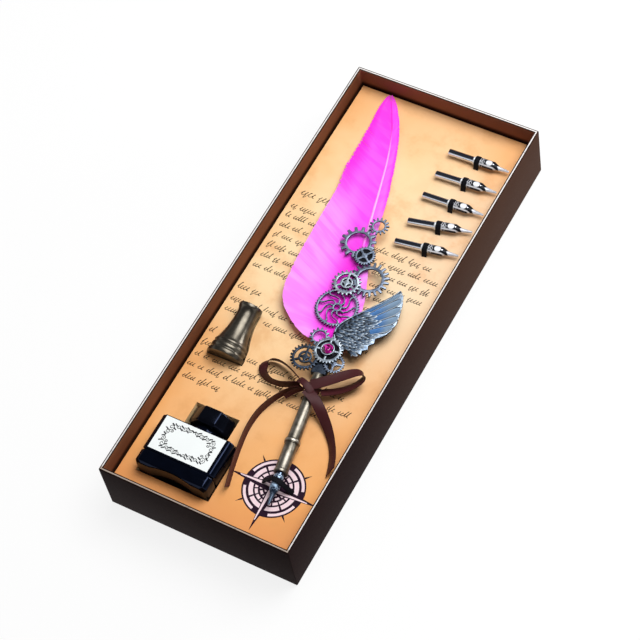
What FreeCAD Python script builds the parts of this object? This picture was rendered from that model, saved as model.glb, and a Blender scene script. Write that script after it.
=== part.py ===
import FreeCAD, Part
import math
import os

from FreeCAD import Vector

# A quill pen gift box: an open paperboard tray with a foam and card insert that holds a feather
# pen dressed with gear charms, five spare nibs under elastic loops, an ink bottle and a pen stand.
# Millimetres, +Z up, origin at the middle of the tray's underside, +Y along its length.

# Tray: greyboard panels glued edge to edge under a paper wrap
tray_length = 290.0
tray_width = 115.0
tray_height = 37.5
board_thickness = 1.6
wrap_thickness = 0.25
rim_turn_in = 16.0
bottom_turn_in = 15.0
bottom_sheet_thickness = 0.25
bottom_sheet_margin = 2.0
bottom_sheet_gap = 0.3

# Insert: a foam block faced with a printed card
insert_gap = 1.2
card_height = 25.0
card_thickness = 0.5

# Clearances that several pieces share
overrun = 1.0
rest_gap = 0.15
seat_gap = 0.02

# Elastic loops, pushed through slits in the card
strap_width = 3.0
strap_thickness = 0.9
strap_foot_depth = 4.0
strap_gap = 0.15
slit_gap = 0.1
nib_loop_half_span = 4.1
pen_loop_half_span = 9.4
pen_loop_radius = 3.5
pen_loop_reach = 5.8

# Dip nib unit: a plated shank with a collar and a feed tongue under a curved steel blade
nib_length = 36.9
shank_length = 19.6
shank_radius = 2.1
shank_chamfer = 0.3
collar_radius = 2.35
collar_length = 0.8
collar_place = 15.4
feed_length = 9.0
blade_radius = 2.9
blade_thickness = 0.3
blade_body_length = 8.0
blade_point_radius = 0.6
breather_radius = 0.4
slit_width = 0.15
blade_mid_share = 0.34
blade_mid_radius_share = 0.48
blade_rise_share = 0.17

# Spare nibs: one row under each loop, turned a little as they lie
nib_turns = (1.7, 3.3, 2.1, 12.0, 8.7)
nib_pitch = 16.0
nib_back_margin = 23.2
nib_side_margin = 3.2
loop_along = 17.9

# Pen: two metal tubes with turned rings and a flat end plate that carries the charms
pen_turn = 9.9
pen_side_margin = 26.0
pen_front_margin = 38.7
nib_exposed = 19.0
nib_bore_radius = 2.6
nib_bore_spare = 0.3
grip_length = 19.0
grip_radius = 3.7
mouth_ring_length = 1.8
mouth_ring_radius = 4.0
mouth_ring_wall = 0.7
mid_ring_length = 2.8
mid_ring_bead = 1.4
mid_ring_radius = 4.4
mid_ring_step = 0.3
barrel_length = 42.5
barrel_front_radius = 3.6
barrel_back_radius = 3.1
end_plate_length = 15.5
end_plate_width = 9.0
end_plate_height = 4.35
end_plate_top = 2.15
end_plate_chamfer = 0.8
spigot_radius = 2.3
spigot_length = 6.0
spigot_gap = 0.05
quill_depth = 12.0
quill_gap = 0.25

# Feather: a shaft that bends slowly to the left with a broad left vane and a narrow right one
feather_tip_margin = 2.2
feather_bend = 13.5
feather_tip_height = 1.5
quill_radius = 1.5
vane_thickness = 0.5
# Place along the shaft, its radius there, and how far it lies to the left of an even bend
shaft_shares = (
    (0.08, 0.78, 0.0), (0.30, 0.62, 0.0), (0.60, 0.42, -0.009), (0.72, 0.35, -0.0165), (0.85, 0.27, -0.0185),
    (0.985, 0.16, -0.003),
)
left_vane_shares = (
    (0.020, 0.018), (0.034, 0.078), (0.082, 0.142), (0.120, 0.180), (0.165, 0.201), (0.220, 0.203),
    (0.303, 0.195), (0.447, 0.168), (0.611, 0.128), (0.718, 0.113), (0.810, 0.081), (0.945, 0.038),
)
right_vane_shares = (
    (0.969, 0.019), (0.902, 0.037), (0.833, 0.044), (0.739, 0.045), (0.618, 0.043), (0.525, 0.038),
    (0.453, 0.033), (0.326, 0.036), (0.198, 0.058), (0.120, 0.062), (0.060, 0.036), (0.020, 0.018),
)

# Gear charms: thin castings glued face to face in three layers, sized by the largest of them
largest_gear_radius = 12.3
gear_thickness = 1.2
tooth_foot_share = 0.29
tooth_tip_share = 0.17
# Place along, place across, tip, root and bore radius of each gear, in radii of the largest
gear_shares = {
    "gear_top_ring": (6.667, -0.220, 0.467, 0.330, 0.250),
    "gear_spiked_ring": (5.675, 0.455, 0.829, 0.620, 0.505),
    "gear_crossed": (4.992, -0.089, 0.504, 0.430, 0.345),
    "gear_coarse_ring": (3.902, -0.654, 0.911, 0.690, 0.545),
    "gear_double_ring": (3.431, 0.244, 0.667, 0.565, 0.455),
    "gear_spiral": (2.163, 0.285, 1.000, 0.930, 0.855),
    "gear_small_ring": (0.488, 0.520, 0.455, 0.350, 0.275),
    "gear_left": (-0.659, 0.797, 0.667, 0.575, 0.475),
    "gear_jewel": (-0.138, -0.098, 0.683, 0.605, 0.495),
    "gear_right": (-0.683, -0.553, 0.480, 0.420, 0.345),
}
gear_tooth_count = {
    "gear_top_ring": 14, "gear_spiked_ring": 14, "gear_crossed": 24, "gear_coarse_ring": 20,
    "gear_double_ring": 20, "gear_spiral": 44, "gear_small_ring": 13, "gear_left": 24,
    "gear_jewel": 28, "gear_right": 22,
}
gear_layers = (
    ("gear_spiked_ring", "gear_coarse_ring", "gear_spiral"),
    ("gear_top_ring", "gear_crossed", "gear_double_ring",
     "gear_small_ring", "gear_left", "gear_right"),
    ("gear_jewel",),
)
spoke_width = 1.1
hub_share = 0.13
crossed_spoke_turn = 45.0
spiral_spoke_count = 9
spiral_spoke_width = 0.8
spiral_sway_angle = 38.0
inner_ring_share = 0.55
inner_ring_wall = 1.0
recess_floor = 0.35

# Jewel and its bezel on the jewel gear
bezel_radius = 3.9
bezel_wall = 0.7
bezel_height = 1.2
bezel_floor = 0.3
jewel_gap = 0.05
jewel_crown = 1.1
jewel_table_share = 0.55
jewel_facet_count = 8

# Wing charm: one casting with long primaries above and a shorter covert layer on top
wing_length = 44.9
wing_turn = -33.5
wing_thickness = 1.2
covert_thickness = 0.5
wing_along_share = 0.569
wing_across_share = -0.244
wing_leading_shares = (
    (-0.053, -0.060), (0.000, 0.045), (0.070, 0.112), (0.173, 0.128), (0.306, 0.112), (0.450, 0.080),
    (0.604, 0.045), (0.748, 0.014), (0.882, 0.000), (1.000, 0.000),
)
wing_trailing_shares = (
    (1.000, 0.000), (0.967, -0.080), (0.888, -0.163), (0.771, -0.254), (0.659, -0.328), (0.568, -0.354),
    (0.474, -0.361), (0.388, -0.337), (0.344, -0.315), (0.292, -0.359), (0.222, -0.336), (0.183, -0.375),
    (0.122, -0.342), (0.077, -0.377), (0.045, -0.306), (-0.025, -0.318), (0.008, -0.242), (-0.013, -0.180),
    (-0.053, -0.060),
)
covert_shares = (
    (0.080, 0.070), (0.250, 0.070), (0.400, 0.030), (0.470, -0.040), (0.420, -0.130), (0.370, -0.230),
    (0.250, -0.270), (0.120, -0.280), (0.030, -0.200), (0.020, -0.060),
)

# Ribbon: a satin strip tied in a bow round the barrel
ribbon_width = 6.0
ribbon_thickness = 0.4
knot_along = 52.0
knot_band_thickness = 0.5
knot_radius = 2.3
knot_lean_angle = 40.0
knot_reach = 4.4
corner_run_share = 0.45
# Routes of the ribbon's free stretches, from the knot outwards: x and y from the pen's mouth, and
# the height over the card
left_loop_route = (
    (-14.4, 51.1, 8.0), (-23.2, 56.4, 6.3), (-32.1, 59.7, 4.6), (-38.2, 59.6, 3.6), (-41.5, 55.9, 3.3),
    (-39.8, 50.8, 3.3), (-34.4, 47.4, 3.4), (-27.6, 47.1, 3.8), (-21.6, 48.8, 5.2), (-15.4, 50.1, 7.4),
)
right_loop_route = (
    (-9.6, 51.4, 9.3), (-4.1, 55.4, 9.9), (2.1, 61.4, 10.1), (6.9, 66.6, 9.6), (10.2, 69.8, 8.4),
    (12.6, 70.4, 6.6), (13.0, 68.4, 4.9), (10.6, 63.8, 3.9), (6.2, 58.8, 3.6), (1.2, 54.2, 4.6),
    (-3.6, 50.6, 6.4),
)
left_tail_route = (
    (-14.6, 48.6, 7.3), (-20.3, 46.0, 5.0), (-24.5, 40.6, 3.7), (-27.6, 34.4, 3.3), (-29.7, 27.0, 3.3),
    (-30.0, 17.0, 3.3), (-28.6, 7.6, 3.3), (-26.8, -1.2, 3.3), (-24.6, -10.2, 3.3), (-22.2, -18.4, 3.3),
)
right_tail_route = (
    (-10.6, 47.8, 9.2), (-5.0, 45.8, 8.7), (0.0, 42.6, 6.4), (5.0, 38.6, 4.0), (10.4, 33.6, 3.3),
    (15.4, 27.8, 3.2), (19.2, 21.8, 3.2), (21.4, 16.6, 3.2), (22.8, 12.0, 3.2),
)
# Which way the ribbon's width points from the start to the end of each route, as parts along X, Y and Z
left_loop_width_shares = (
    (0.34, -0.41, 0.84), (0.45, -0.20, 0.80), (0.72, 0.42, 0.40), (0.10, 0.05, 0.95), (0.0, 0.0, 1.0),
)
right_loop_width_shares = (
    (0.70, -0.66, -0.12), (0.68, -0.62, 0.10), (0.55, -0.57, 0.55), (0.58, -0.58, 0.50), (0.65, -0.60, 0.35),
)
left_tail_width_shares = ((0.10, -0.10, 0.95), (-0.08, 0.0, 1.0), (-0.12, 0.02, 0.99), (-0.15, 0.05, 0.98))
right_tail_width_shares = ((0.25, 0.85, -0.25), (0.55, 0.30, 0.20), (0.71, -0.10, 0.60), (0.71, -0.13, 0.69))

# Ink bottle: a chamfered glass block lying on its back, with a screw cap
bottle_side_margin = 9.8
bottle_front_margin = 10.2
bottle_width = 44.0
bottle_depth = 32.5
bottle_chamfer = 2.3
bottle_height = 31.0
base_height = 8.2
base_bevel = 1.5
groove_height = 1.2
groove_depth = 1.0
arch_width = 26.0
arch_rise = 1.2
shoulder_height = 2.5
shoulder_inset = 6.0
glass_wall = 3.0
neck_radius = 9.0
neck_bore_radius = 6.5
ink_gap = 0.1
label_width = 36.5
label_height = 20.6
label_thickness = 0.15
label_shift = 0.6
cap_width = 24.0
cap_stand_off = 3.2
cap_height = 10.3
cap_bevel = 1.6
cap_roof = 2.0
cap_gap = 0.4
liner_thickness = 1.0
liner_gap = 0.2
cap_travel = 1.5
pocket_floor = 1.25
pocket_gap = 0.5
cap_swing_gap = 0.4

# Pen stand: one turned brass piece lying in a dished pocket, its narrow end a little raised
stand_length = 33.0
stand_radius = 10.8
stand_side_margin = 7.6
stand_front_margin = 88.8
stand_turn = 1.5
stand_rise = 8.0
stand_bore_radius = 4.7
stand_bore_depth = 26.0
stand_pocket_gap = 0.3
stand_pocket_spare = 1.6
stand_foot_shares = (
    (0.00, 1.000), (0.075, 1.000), (0.095, 0.935), (0.115, 0.925), (0.135, 0.955), (0.180, 0.950),
    (0.200, 0.885), (0.215, 0.880), (0.235, 0.905), (0.260, 0.895), (0.275, 0.855),
)
stand_waist_shares = ((0.275, 0.855), (0.560, 0.620), (0.860, 0.545))
stand_lip_shares = ((0.860, 0.545), (0.910, 0.575), (0.945, 0.630), (1.000, 0.630))
stand_pocket_shares = (
    (0.0, 1.0), (0.085, 1.0), (0.14, 0.96), (0.28, 0.90), (0.42, 0.77), (0.56, 0.68), (0.70, 0.63), (1.0, 0.63),
)

# Places worked out from the sizes above
wall_thickness = board_thickness + wrap_thickness + wrap_thickness
insert_half_width = tray_width / 2 - wall_thickness - insert_gap
insert_half_length = tray_length / 2 - wall_thickness - insert_gap
board_low = bottom_sheet_thickness + wrap_thickness
foam_low = board_low + board_thickness
foam_high = card_height - card_thickness
up = Vector(0, 0, 1)
along = Vector(1, 0, 0)
across = Vector(0, 1, 0)
centre = Vector(0, 0, 0)

pieces = {}


def block(half_x, half_y, low, high):
    """A box centred on the Z axis between two heights."""
    corner = Vector(-half_x, -half_y, low)
    return Part.makeBox(half_x + half_x, half_y + half_y, high - low, corner)


def box_between(low, high):
    """A box from its lowest to its highest corner."""
    size = high.sub(low)
    return Part.makeBox(size.x, size.y, size.z, low)


def rod(radius, start, end):
    """A round bar along local X."""
    return Part.makeCylinder(radius, end - start, Vector(start, 0, 0), along)


def taper(start_radius, end_radius, start, end):
    """A cone along local X."""
    return Part.makeCone(start_radius, end_radius, end - start, Vector(start, 0, 0), along)


def prism(points, height):
    """A flat outline of points, drawn up by a height."""
    wire = Part.makePolygon(points + points[:1])
    return Part.Face(wire).extrude(Vector(0, 0, height))


def joined(shapes):
    """One solid from shapes that meet."""
    first, *others = shapes
    return first.fuse(others).removeSplitter()


def tray_walls():
    """Base board, two long walls over its edges and two short walls between them."""
    half_x = tray_width / 2 - wrap_thickness
    half_y = tray_length / 2 - wrap_thickness
    top = tray_height - wrap_thickness
    pieces["tray_base_board"] = block(half_x, half_y, board_low, foam_low)
    inner_x = half_x - board_thickness
    inner_y = half_y - board_thickness
    for name, side in (("tray_left_wall", -half_x), ("tray_right_wall", inner_x)):
        low = Vector(side, -half_y, foam_low)
        high = Vector(side + board_thickness, half_y, top)
        pieces[name] = box_between(low, high)
    for name, side in (("tray_front_wall", -half_y), ("tray_back_wall", inner_y)):
        low = Vector(-inner_x, side, foam_low)
        high = Vector(inner_x, side + board_thickness, top)
        pieces[name] = box_between(low, high)


def tray_wrap():
    """Paper round the outside, over the rim, down inside it and under the base."""
    half_x = tray_width / 2
    half_y = tray_length / 2
    low = bottom_sheet_thickness
    board_x = half_x - wrap_thickness
    board_y = half_y - wrap_thickness
    skin = block(half_x, half_y, low, tray_height).cut(block(board_x, board_y, low, tray_height))
    inside_x = half_x - wall_thickness
    inside_y = half_y - wall_thickness
    opening = block(inside_x, inside_y, low, tray_height)
    rim = block(half_x, half_y, tray_height - wrap_thickness, tray_height).cut(opening)
    turn_x = inside_x + wrap_thickness
    turn_y = inside_y + wrap_thickness
    lining = block(turn_x, turn_y, tray_height - rim_turn_in, tray_height).cut(opening)
    hem_x = half_x - bottom_turn_in
    hem_y = half_y - bottom_turn_in
    hem = block(half_x, half_y, low, board_low).cut(block(hem_x, hem_y, low, board_low))
    pieces["tray_wrap"] = joined([skin, rim, lining, hem])


def tray_bottom_sheet():
    """Lining paper glued over the wrap's hem, and to the board inside it."""
    sheet_x = tray_width / 2 - bottom_sheet_margin
    sheet_y = tray_length / 2 - bottom_sheet_margin
    inner_x = tray_width / 2 - bottom_turn_in - bottom_sheet_gap
    inner_y = tray_length / 2 - bottom_turn_in - bottom_sheet_gap
    sheet = block(sheet_x, sheet_y, 0, bottom_sheet_thickness)
    pieces["tray_bottom_sheet"] = joined([sheet, block(inner_x, inner_y, 0, board_low)])


def strap(radius, axis_height, half_span):
    """An elastic loop over a round piece: an arch, two sloping sides and feet below the card."""
    def side(reach, arch):
        distance = math.hypot(reach, axis_height)
        touch = math.acos(arch / distance) - math.atan2(axis_height, reach)
        return Vector(0, arch * math.cos(touch), axis_height + arch * math.sin(touch))

    def mirrored(point):
        return Vector(point.x, -point.y, point.z)

    inner_span = half_span - strap_thickness
    outer_arch = radius + strap_thickness
    outer = side(half_span, outer_arch)
    inner = side(inner_span, radius)
    outer_foot = Vector(0, half_span, 0)
    inner_foot = Vector(0, inner_span, 0)
    outer_toe = Vector(0, half_span, -strap_foot_depth)
    inner_toe = Vector(0, inner_span, -strap_foot_depth)
    outer_crown = Vector(0, 0, axis_height + outer_arch)
    inner_crown = Vector(0, 0, axis_height + radius)
    edges = [
        Part.LineSegment(inner_toe, outer_toe),
        Part.LineSegment(outer_toe, outer_foot),
        Part.LineSegment(outer_foot, outer),
        Part.Arc(outer, outer_crown, mirrored(outer)),
        Part.LineSegment(mirrored(outer), mirrored(outer_foot)),
        Part.LineSegment(mirrored(outer_foot), mirrored(outer_toe)),
        Part.LineSegment(mirrored(outer_toe), mirrored(inner_toe)),
        Part.LineSegment(mirrored(inner_toe), mirrored(inner_foot)),
        Part.LineSegment(mirrored(inner_foot), mirrored(inner)),
        Part.Arc(mirrored(inner), inner_crown, inner),
        Part.LineSegment(inner, inner_foot),
        Part.LineSegment(inner_foot, inner_toe),
    ]
    wire = Part.Wire([edge.toShape() for edge in edges])
    band = Part.Face(wire).extrude(Vector(strap_width, 0, 0))
    return band.translated(Vector(-strap_width / 2, 0, 0))


def strap_slits(half_span):
    """The two slots that a loop's feet go into."""
    half_x = strap_width / 2 + slit_gap
    slots = []
    for reach in (half_span - strap_thickness, -half_span):
        low = Vector(-half_x, reach - slit_gap, -strap_foot_depth)
        high = Vector(half_x, reach + strap_thickness + slit_gap, overrun)
        slots.append(box_between(low, high))
    return slots


def nib_unit():
    """Shank and blade of one dip nib along local X, the shank's back end at zero."""
    tip = nib_length
    blade_start = shank_length
    cone_start = blade_start + blade_body_length
    cone_mid = cone_start + (tip - cone_start) * blade_mid_share
    mid_radius = blade_radius * blade_mid_radius_share

    def arch(offset):
        stretches = [
            rod(blade_radius - offset, blade_start, cone_start),
            taper(blade_radius - offset, mid_radius - offset, cone_start, cone_mid),
            taper(mid_radius - offset, blade_point_radius - offset, cone_mid, tip),
        ]
        return joined(stretches)

    def upper(end):
        low = Vector(blade_start, -blade_radius, blade_radius * blade_rise_share)
        return box_between(low, Vector(end, blade_radius, blade_radius + overrun))

    body = rod(shank_radius, 0, shank_length)
    body = body.makeChamfer(shank_chamfer, [body.Edges[0], body.Edges[2]])
    collar = rod(collar_radius, collar_place, collar_place + collar_length)
    feed = arch(blade_thickness + seat_gap).common(upper(blade_start + feed_length))
    shank = joined([body, collar, feed])

    blade = arch(0).cut(arch(blade_thickness)).common(upper(tip))
    point_low = Vector(cone_start, -mid_radius, 0)
    point_high = Vector(tip, mid_radius, blade_radius)
    point = arch(0).cut(arch(blade_thickness)).common(box_between(point_low, point_high))
    blade = joined([blade, point])
    breather = Part.makeCylinder(breather_radius, blade_radius + overrun, Vector(cone_start, 0, 0))
    slit_low = Vector(cone_start, -slit_width / 2, 0)
    slit_high = Vector(tip - blade_thickness, slit_width / 2, blade_radius + overrun)
    blade = blade.cut([breather, box_between(slit_low, slit_high)])
    return shank, blade


def spare_nib_places():
    """Middle of each loop on the card and the turn of the nib under it."""
    x = insert_half_width - nib_side_margin - (nib_length - loop_along)
    first = insert_half_length - nib_back_margin
    return [(x, first - row * nib_pitch, turn) for row, turn in enumerate(nib_turns)]


def on_card(shape, x, y, turn, height):
    """A shape turned about Z and set at a place over the table."""
    return shape.rotated(centre, up, turn).translated(Vector(x, y, height))


def spare_nibs():
    """Five nib units, each lying on the card under its own loop."""
    shank, blade = nib_unit()
    back = Vector(-loop_along, 0, 0)
    for number, (x, y, turn) in enumerate(spare_nib_places(), start=1):
        height = card_height + collar_radius + rest_gap
        pieces[f"nib_shank_{number}"] = on_card(shank.translated(back), x, y, turn, height)
        pieces[f"nib_blade_{number}"] = on_card(blade.translated(back), x, y, turn, height)
        loop = strap(shank_radius + strap_gap, height - card_height, nib_loop_half_span)
        pieces[f"nib_loop_{number}"] = on_card(loop, x, y, turn, card_height)


pen_axis_height = card_height + mid_ring_radius + rest_gap
mouth_x = insert_half_width - pen_side_margin
mouth_y = -insert_half_length + pen_front_margin
barrel_end = grip_length + barrel_length
socket_end = barrel_end + end_plate_length
nib_seat = nib_length - nib_exposed


def on_pen(shape):
    """A shape from the pen's frame, X back along the barrel from its mouth, to the box."""
    turned = shape.rotated(centre, up, 90 + pen_turn)
    return turned.translated(Vector(mouth_x, mouth_y, pen_axis_height))


def pen_tubes():
    """Grip, barrel, the two rings and the end plate with its quill socket."""
    bore = rod(nib_bore_radius, -overrun, nib_seat + nib_bore_spare)
    ring_seat = mouth_ring_radius - mouth_ring_wall
    grip = joined([rod(ring_seat, 0, grip_length), rod(grip_radius, mouth_ring_length, grip_length)])
    pieces["pen_grip"] = on_pen(grip.cut(bore))

    ring = rod(mouth_ring_radius, 0, mouth_ring_length)
    ring = ring.makeChamfer(mouth_ring_wall / 2, [ring.Edges[0]])
    pieces["pen_mouth_ring"] = on_pen(ring.cut(rod(ring_seat + seat_gap, -overrun, grip_length)))

    barrel = taper(barrel_front_radius, barrel_back_radius, grip_length, barrel_end)
    socket = rod(spigot_radius + spigot_gap, barrel_end - spigot_length - spigot_gap, barrel_end + overrun)
    pieces["pen_barrel"] = on_pen(barrel.cut([bore, socket]))

    start = grip_length - mid_ring_length / 2
    end = grip_length + mid_ring_length / 2
    bead_start = grip_length - mid_ring_bead / 2
    bead_end = grip_length + mid_ring_bead / 2
    sleeve = rod(mid_ring_radius - mid_ring_step, start, end)
    bead = rod(mid_ring_radius, bead_start, bead_end)
    hole = rod(grip_radius + seat_gap, start - overrun, end + overrun)
    pieces["pen_mid_ring"] = on_pen(joined([sleeve, bead]).cut(hole))

    low = Vector(barrel_end, -end_plate_width / 2, end_plate_top - end_plate_height)
    high = Vector(socket_end, end_plate_width / 2, end_plate_top)
    plate = box_between(low, high)
    long_edges = [edge for edge in plate.Edges if abs(edge.tangentAt(0).x) > math.cos(math.pi / 4)]
    plate = plate.makeChamfer(end_plate_chamfer, long_edges)
    plate = joined([plate, rod(spigot_radius, barrel_end - spigot_length, barrel_end)])
    quill_bore = rod(quill_radius + quill_gap, socket_end - quill_depth - quill_gap, socket_end + overrun)
    pieces["pen_end_plate"] = on_pen(plate.cut(quill_bore))


def pen_nib():
    """The nib unit pushed into the grip, its point ahead of the mouth."""
    shank, blade = nib_unit()
    for name, shape in (("pen_nib_shank", shank), ("pen_nib_blade", blade)):
        reversed_shape = shape.rotated(centre, up, 180).translated(Vector(nib_seat, 0, 0))
        pieces[name] = on_pen(reversed_shape)


bend = math.radians(feather_bend)
lean = math.radians(pen_turn)
socket_y = mouth_y + socket_end * math.cos(lean)
tip_y = insert_half_length - feather_tip_margin
chord = (tip_y - socket_y) / math.cos(lean + bend / 2)
feather_length = chord * (bend / 2) / math.sin(bend / 2)
feather_radius = feather_length / bend
feather_drop = (pen_axis_height - card_height - feather_tip_height) / feather_length


def feather_point(place, offset):
    """A point beside the shaft's line: a share of its length along, and a distance to the left."""
    angle = bend * place
    reach = feather_radius - offset
    return Vector(socket_end + reach * math.sin(angle), feather_radius - reach * math.cos(angle), 0)


def feather_pieces():
    """Tapering shaft from the socket to the tip, and the vane as a thin tilted sheet round it."""
    sections = []
    for distance, radius in ((-quill_depth, quill_radius), (0, quill_radius)):
        sections.append((Vector(socket_end + distance, 0, 0), along, radius))
    for place, share, shift in shaft_shares:
        point = feather_point(place, shift * feather_length)
        point.z = -feather_drop * feather_length * place
        heading = Vector(math.cos(bend * place), math.sin(bend * place), 0)
        sections.append((point, heading, quill_radius * share))

    def shaft_with(margin):
        rings = [Part.Wire(Part.makeCircle(size + margin, point, way)) for point, way, size in sections]
        return Part.makeLoft(rings, True, True)

    shaft = shaft_with(0)
    pieces["feather_shaft"] = on_pen(shaft)

    left = [feather_point(place, width * feather_length) for place, width in left_vane_shares]
    right = [feather_point(place, -width * feather_length) for place, width in right_vane_shares]
    tip = feather_point(1, 0)
    left_edge = Part.BSplineCurve()
    left_edge.interpolate(left + [tip])
    right_edge = Part.BSplineCurve()
    right_edge.interpolate([tip] + right)
    base_edge = Part.LineSegment(right[-1], left[0])
    wire = Part.Wire([left_edge.toShape(), right_edge.toShape(), base_edge.toShape()])
    vane = Part.Face(wire).extrude(Vector(0, 0, vane_thickness))
    vane = vane.translated(Vector(0, 0, -vane_thickness / 2))
    drop_angle = math.degrees(math.atan(feather_drop))
    vane = vane.rotated(Vector(socket_end, 0, 0), across, drop_angle)
    pieces["feather_vane"] = on_pen(vane.cut(shaft_with(seat_gap)))


layer_low = end_plate_top - gear_thickness
layer_heights = (layer_low, layer_low + gear_thickness, layer_low + gear_thickness + gear_thickness)


def toothed_disc(tip, root, teeth):
    """A flat disc with straight-sided teeth, standing on the XY plane."""
    points = []
    for tooth in range(teeth):
        corners = (
            (root, -tooth_foot_share), (tip, -tooth_tip_share),
            (tip, tooth_tip_share), (root, tooth_foot_share),
        )
        for radius, share in corners:
            angle = 2 * math.pi * (tooth + share) / teeth
            points.append(Vector(radius * math.cos(angle), radius * math.sin(angle), 0))
    return prism(points, gear_thickness)


def tube(outer, inner, height):
    """A flat ring on the XY plane."""
    return Part.makeCylinder(outer, height).cut(Part.makeCylinder(inner, height))


def straight_spokes(count, inner, outer, first=0):
    """Flat bars from one radius to another."""
    low = Vector(inner, -spoke_width / 2, 0)
    high = Vector(outer, spoke_width / 2, gear_thickness)
    bar = box_between(low, high)
    return [bar.rotated(centre, up, first + 360 * number / count) for number in range(count)]


def spiral_bars(inner, outer):
    """S-curved bars from the hub to the rim, by a sine along the radius."""
    steps = 8
    bars = []
    for number in range(spiral_spoke_count):
        start = 2 * math.pi * number / spiral_spoke_count
        sides = ([], [])
        for step in range(steps + 1):
            share = step / steps
            radius = inner + (outer - inner) * share
            swing = share - math.sin(2 * math.pi * share) / math.pi
            angle = start + math.radians(spiral_sway_angle) * swing
            half = math.asin(spiral_spoke_width / 2 / radius)
            for side, turn in zip(sides, (-half, half)):
                side.append(Vector(radius * math.cos(angle + turn), radius * math.sin(angle + turn), 0))
        bars.append(prism(sides[0] + sides[1][::-1], gear_thickness))
    return bars


def gear_charm(name, tip, root, bore, teeth):
    """One gear on the XY plane, with the spokes, hub or inner ring that its name calls for."""
    hub = largest_gear_radius * hub_share
    rim_mid = (bore + root) / 2
    shapes = [toothed_disc(tip, root, teeth).cut(Part.makeCylinder(bore, gear_thickness))]
    if name in ("gear_crossed", "gear_right"):
        shapes.append(Part.makeCylinder(hub, gear_thickness))
        shapes += straight_spokes(4, 0, rim_mid, crossed_spoke_turn if name == "gear_crossed" else 0)
    if name in ("gear_crossed", "gear_jewel"):
        shapes.append(Part.makeCylinder(rim_mid, recess_floor))
    if name in ("gear_double_ring", "gear_left"):
        ring = bore * inner_ring_share
        shapes.append(tube(ring + inner_ring_wall / 2, ring - inner_ring_wall / 2, gear_thickness))
        shapes += straight_spokes(3, ring, rim_mid)
        shapes += straight_spokes(4, 0, ring)
        shapes.append(Part.makeCylinder(hub, gear_thickness))
    if name == "gear_double_ring":
        shapes.append(Part.makeCylinder(ring, recess_floor))
    if name == "gear_spiral":
        shapes.append(tube(hub + spoke_width, hub, gear_thickness))
        shapes += spiral_bars(hub + spoke_width / 2, rim_mid)
    if name == "gear_jewel":
        shapes.append(Part.makeCylinder(bezel_radius, gear_thickness))
        shapes += straight_spokes(4, bezel_radius - spoke_width, rim_mid)
    return joined(shapes)


def charm_place(along_share, across_share, height):
    """A place in the pen's frame, counted from the socket's end in largest gear radii."""
    x = socket_end + along_share * largest_gear_radius
    return Vector(x, across_share * largest_gear_radius, height)


def gear_charms():
    """Ten gears glued one over another from the end plate up along the feather."""
    for names, height in zip(gear_layers, layer_heights):
        for name in names:
            along_share, across_share, *radius_shares = gear_shares[name]
            radii = [share * largest_gear_radius for share in radius_shares]
            gear = gear_charm(name, *radii, gear_tooth_count[name])
            place = charm_place(along_share, across_share, height)
            pieces[name] = on_pen(gear.translated(place))


def jewel_and_bezel():
    """A cup soldered on the jewel gear and a faceted stone set in it."""
    along_share, across_share, *rest = gear_shares["gear_jewel"]
    seat = charm_place(along_share, across_share, layer_heights[-1] + gear_thickness)
    cup = Part.makeCylinder(bezel_radius, bezel_height)
    stone_radius = bezel_radius - bezel_wall - jewel_gap
    hollow = Part.makeCylinder(bezel_radius - bezel_wall, bezel_height, Vector(0, 0, bezel_floor))
    pieces["jewel_bezel"] = on_pen(cup.cut(hollow).translated(seat))

    def facet_ring(radius, height):
        turns = [2 * math.pi * corner / jewel_facet_count for corner in range(jewel_facet_count)]
        points = [Vector(radius * math.cos(turn), radius * math.sin(turn), height) for turn in turns]
        return Part.makePolygon(points + points[:1])

    rings = [
        facet_ring(stone_radius, bezel_floor),
        facet_ring(stone_radius, bezel_height),
        facet_ring(stone_radius * jewel_table_share, bezel_height + jewel_crown),
    ]
    pieces["jewel"] = on_pen(Part.makeLoft(rings, True, True).translated(seat))


def wing_charm():
    """A wing casting: its outline with separate feather tips, and the covert layer on it."""
    def points(shares):
        return [Vector(place * wing_length, reach * wing_length, 0) for place, reach in shares]

    leading = Part.BSplineCurve()
    leading.interpolate(points(wing_leading_shares))
    trailing = Part.makePolygon(points(wing_trailing_shares))
    wire = Part.Wire([leading.toShape()] + trailing.Edges)
    plate = Part.Face(wire).extrude(Vector(0, 0, wing_thickness))
    covert = prism(points(covert_shares), wing_thickness + covert_thickness)
    place = charm_place(wing_along_share, wing_across_share, layer_heights[1])
    wing = joined([plate, covert]).rotated(centre, up, wing_turn).translated(place)
    jewel_along, jewel_across, jewel_tip, *rest = gear_shares["gear_jewel"]
    over = charm_place(jewel_along, jewel_across, layer_heights[2])
    clear = Part.makeCylinder(jewel_tip * largest_gear_radius, covert_thickness + overrun, over)
    pieces["wing_charm"] = on_pen(wing.cut(clear))


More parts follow.
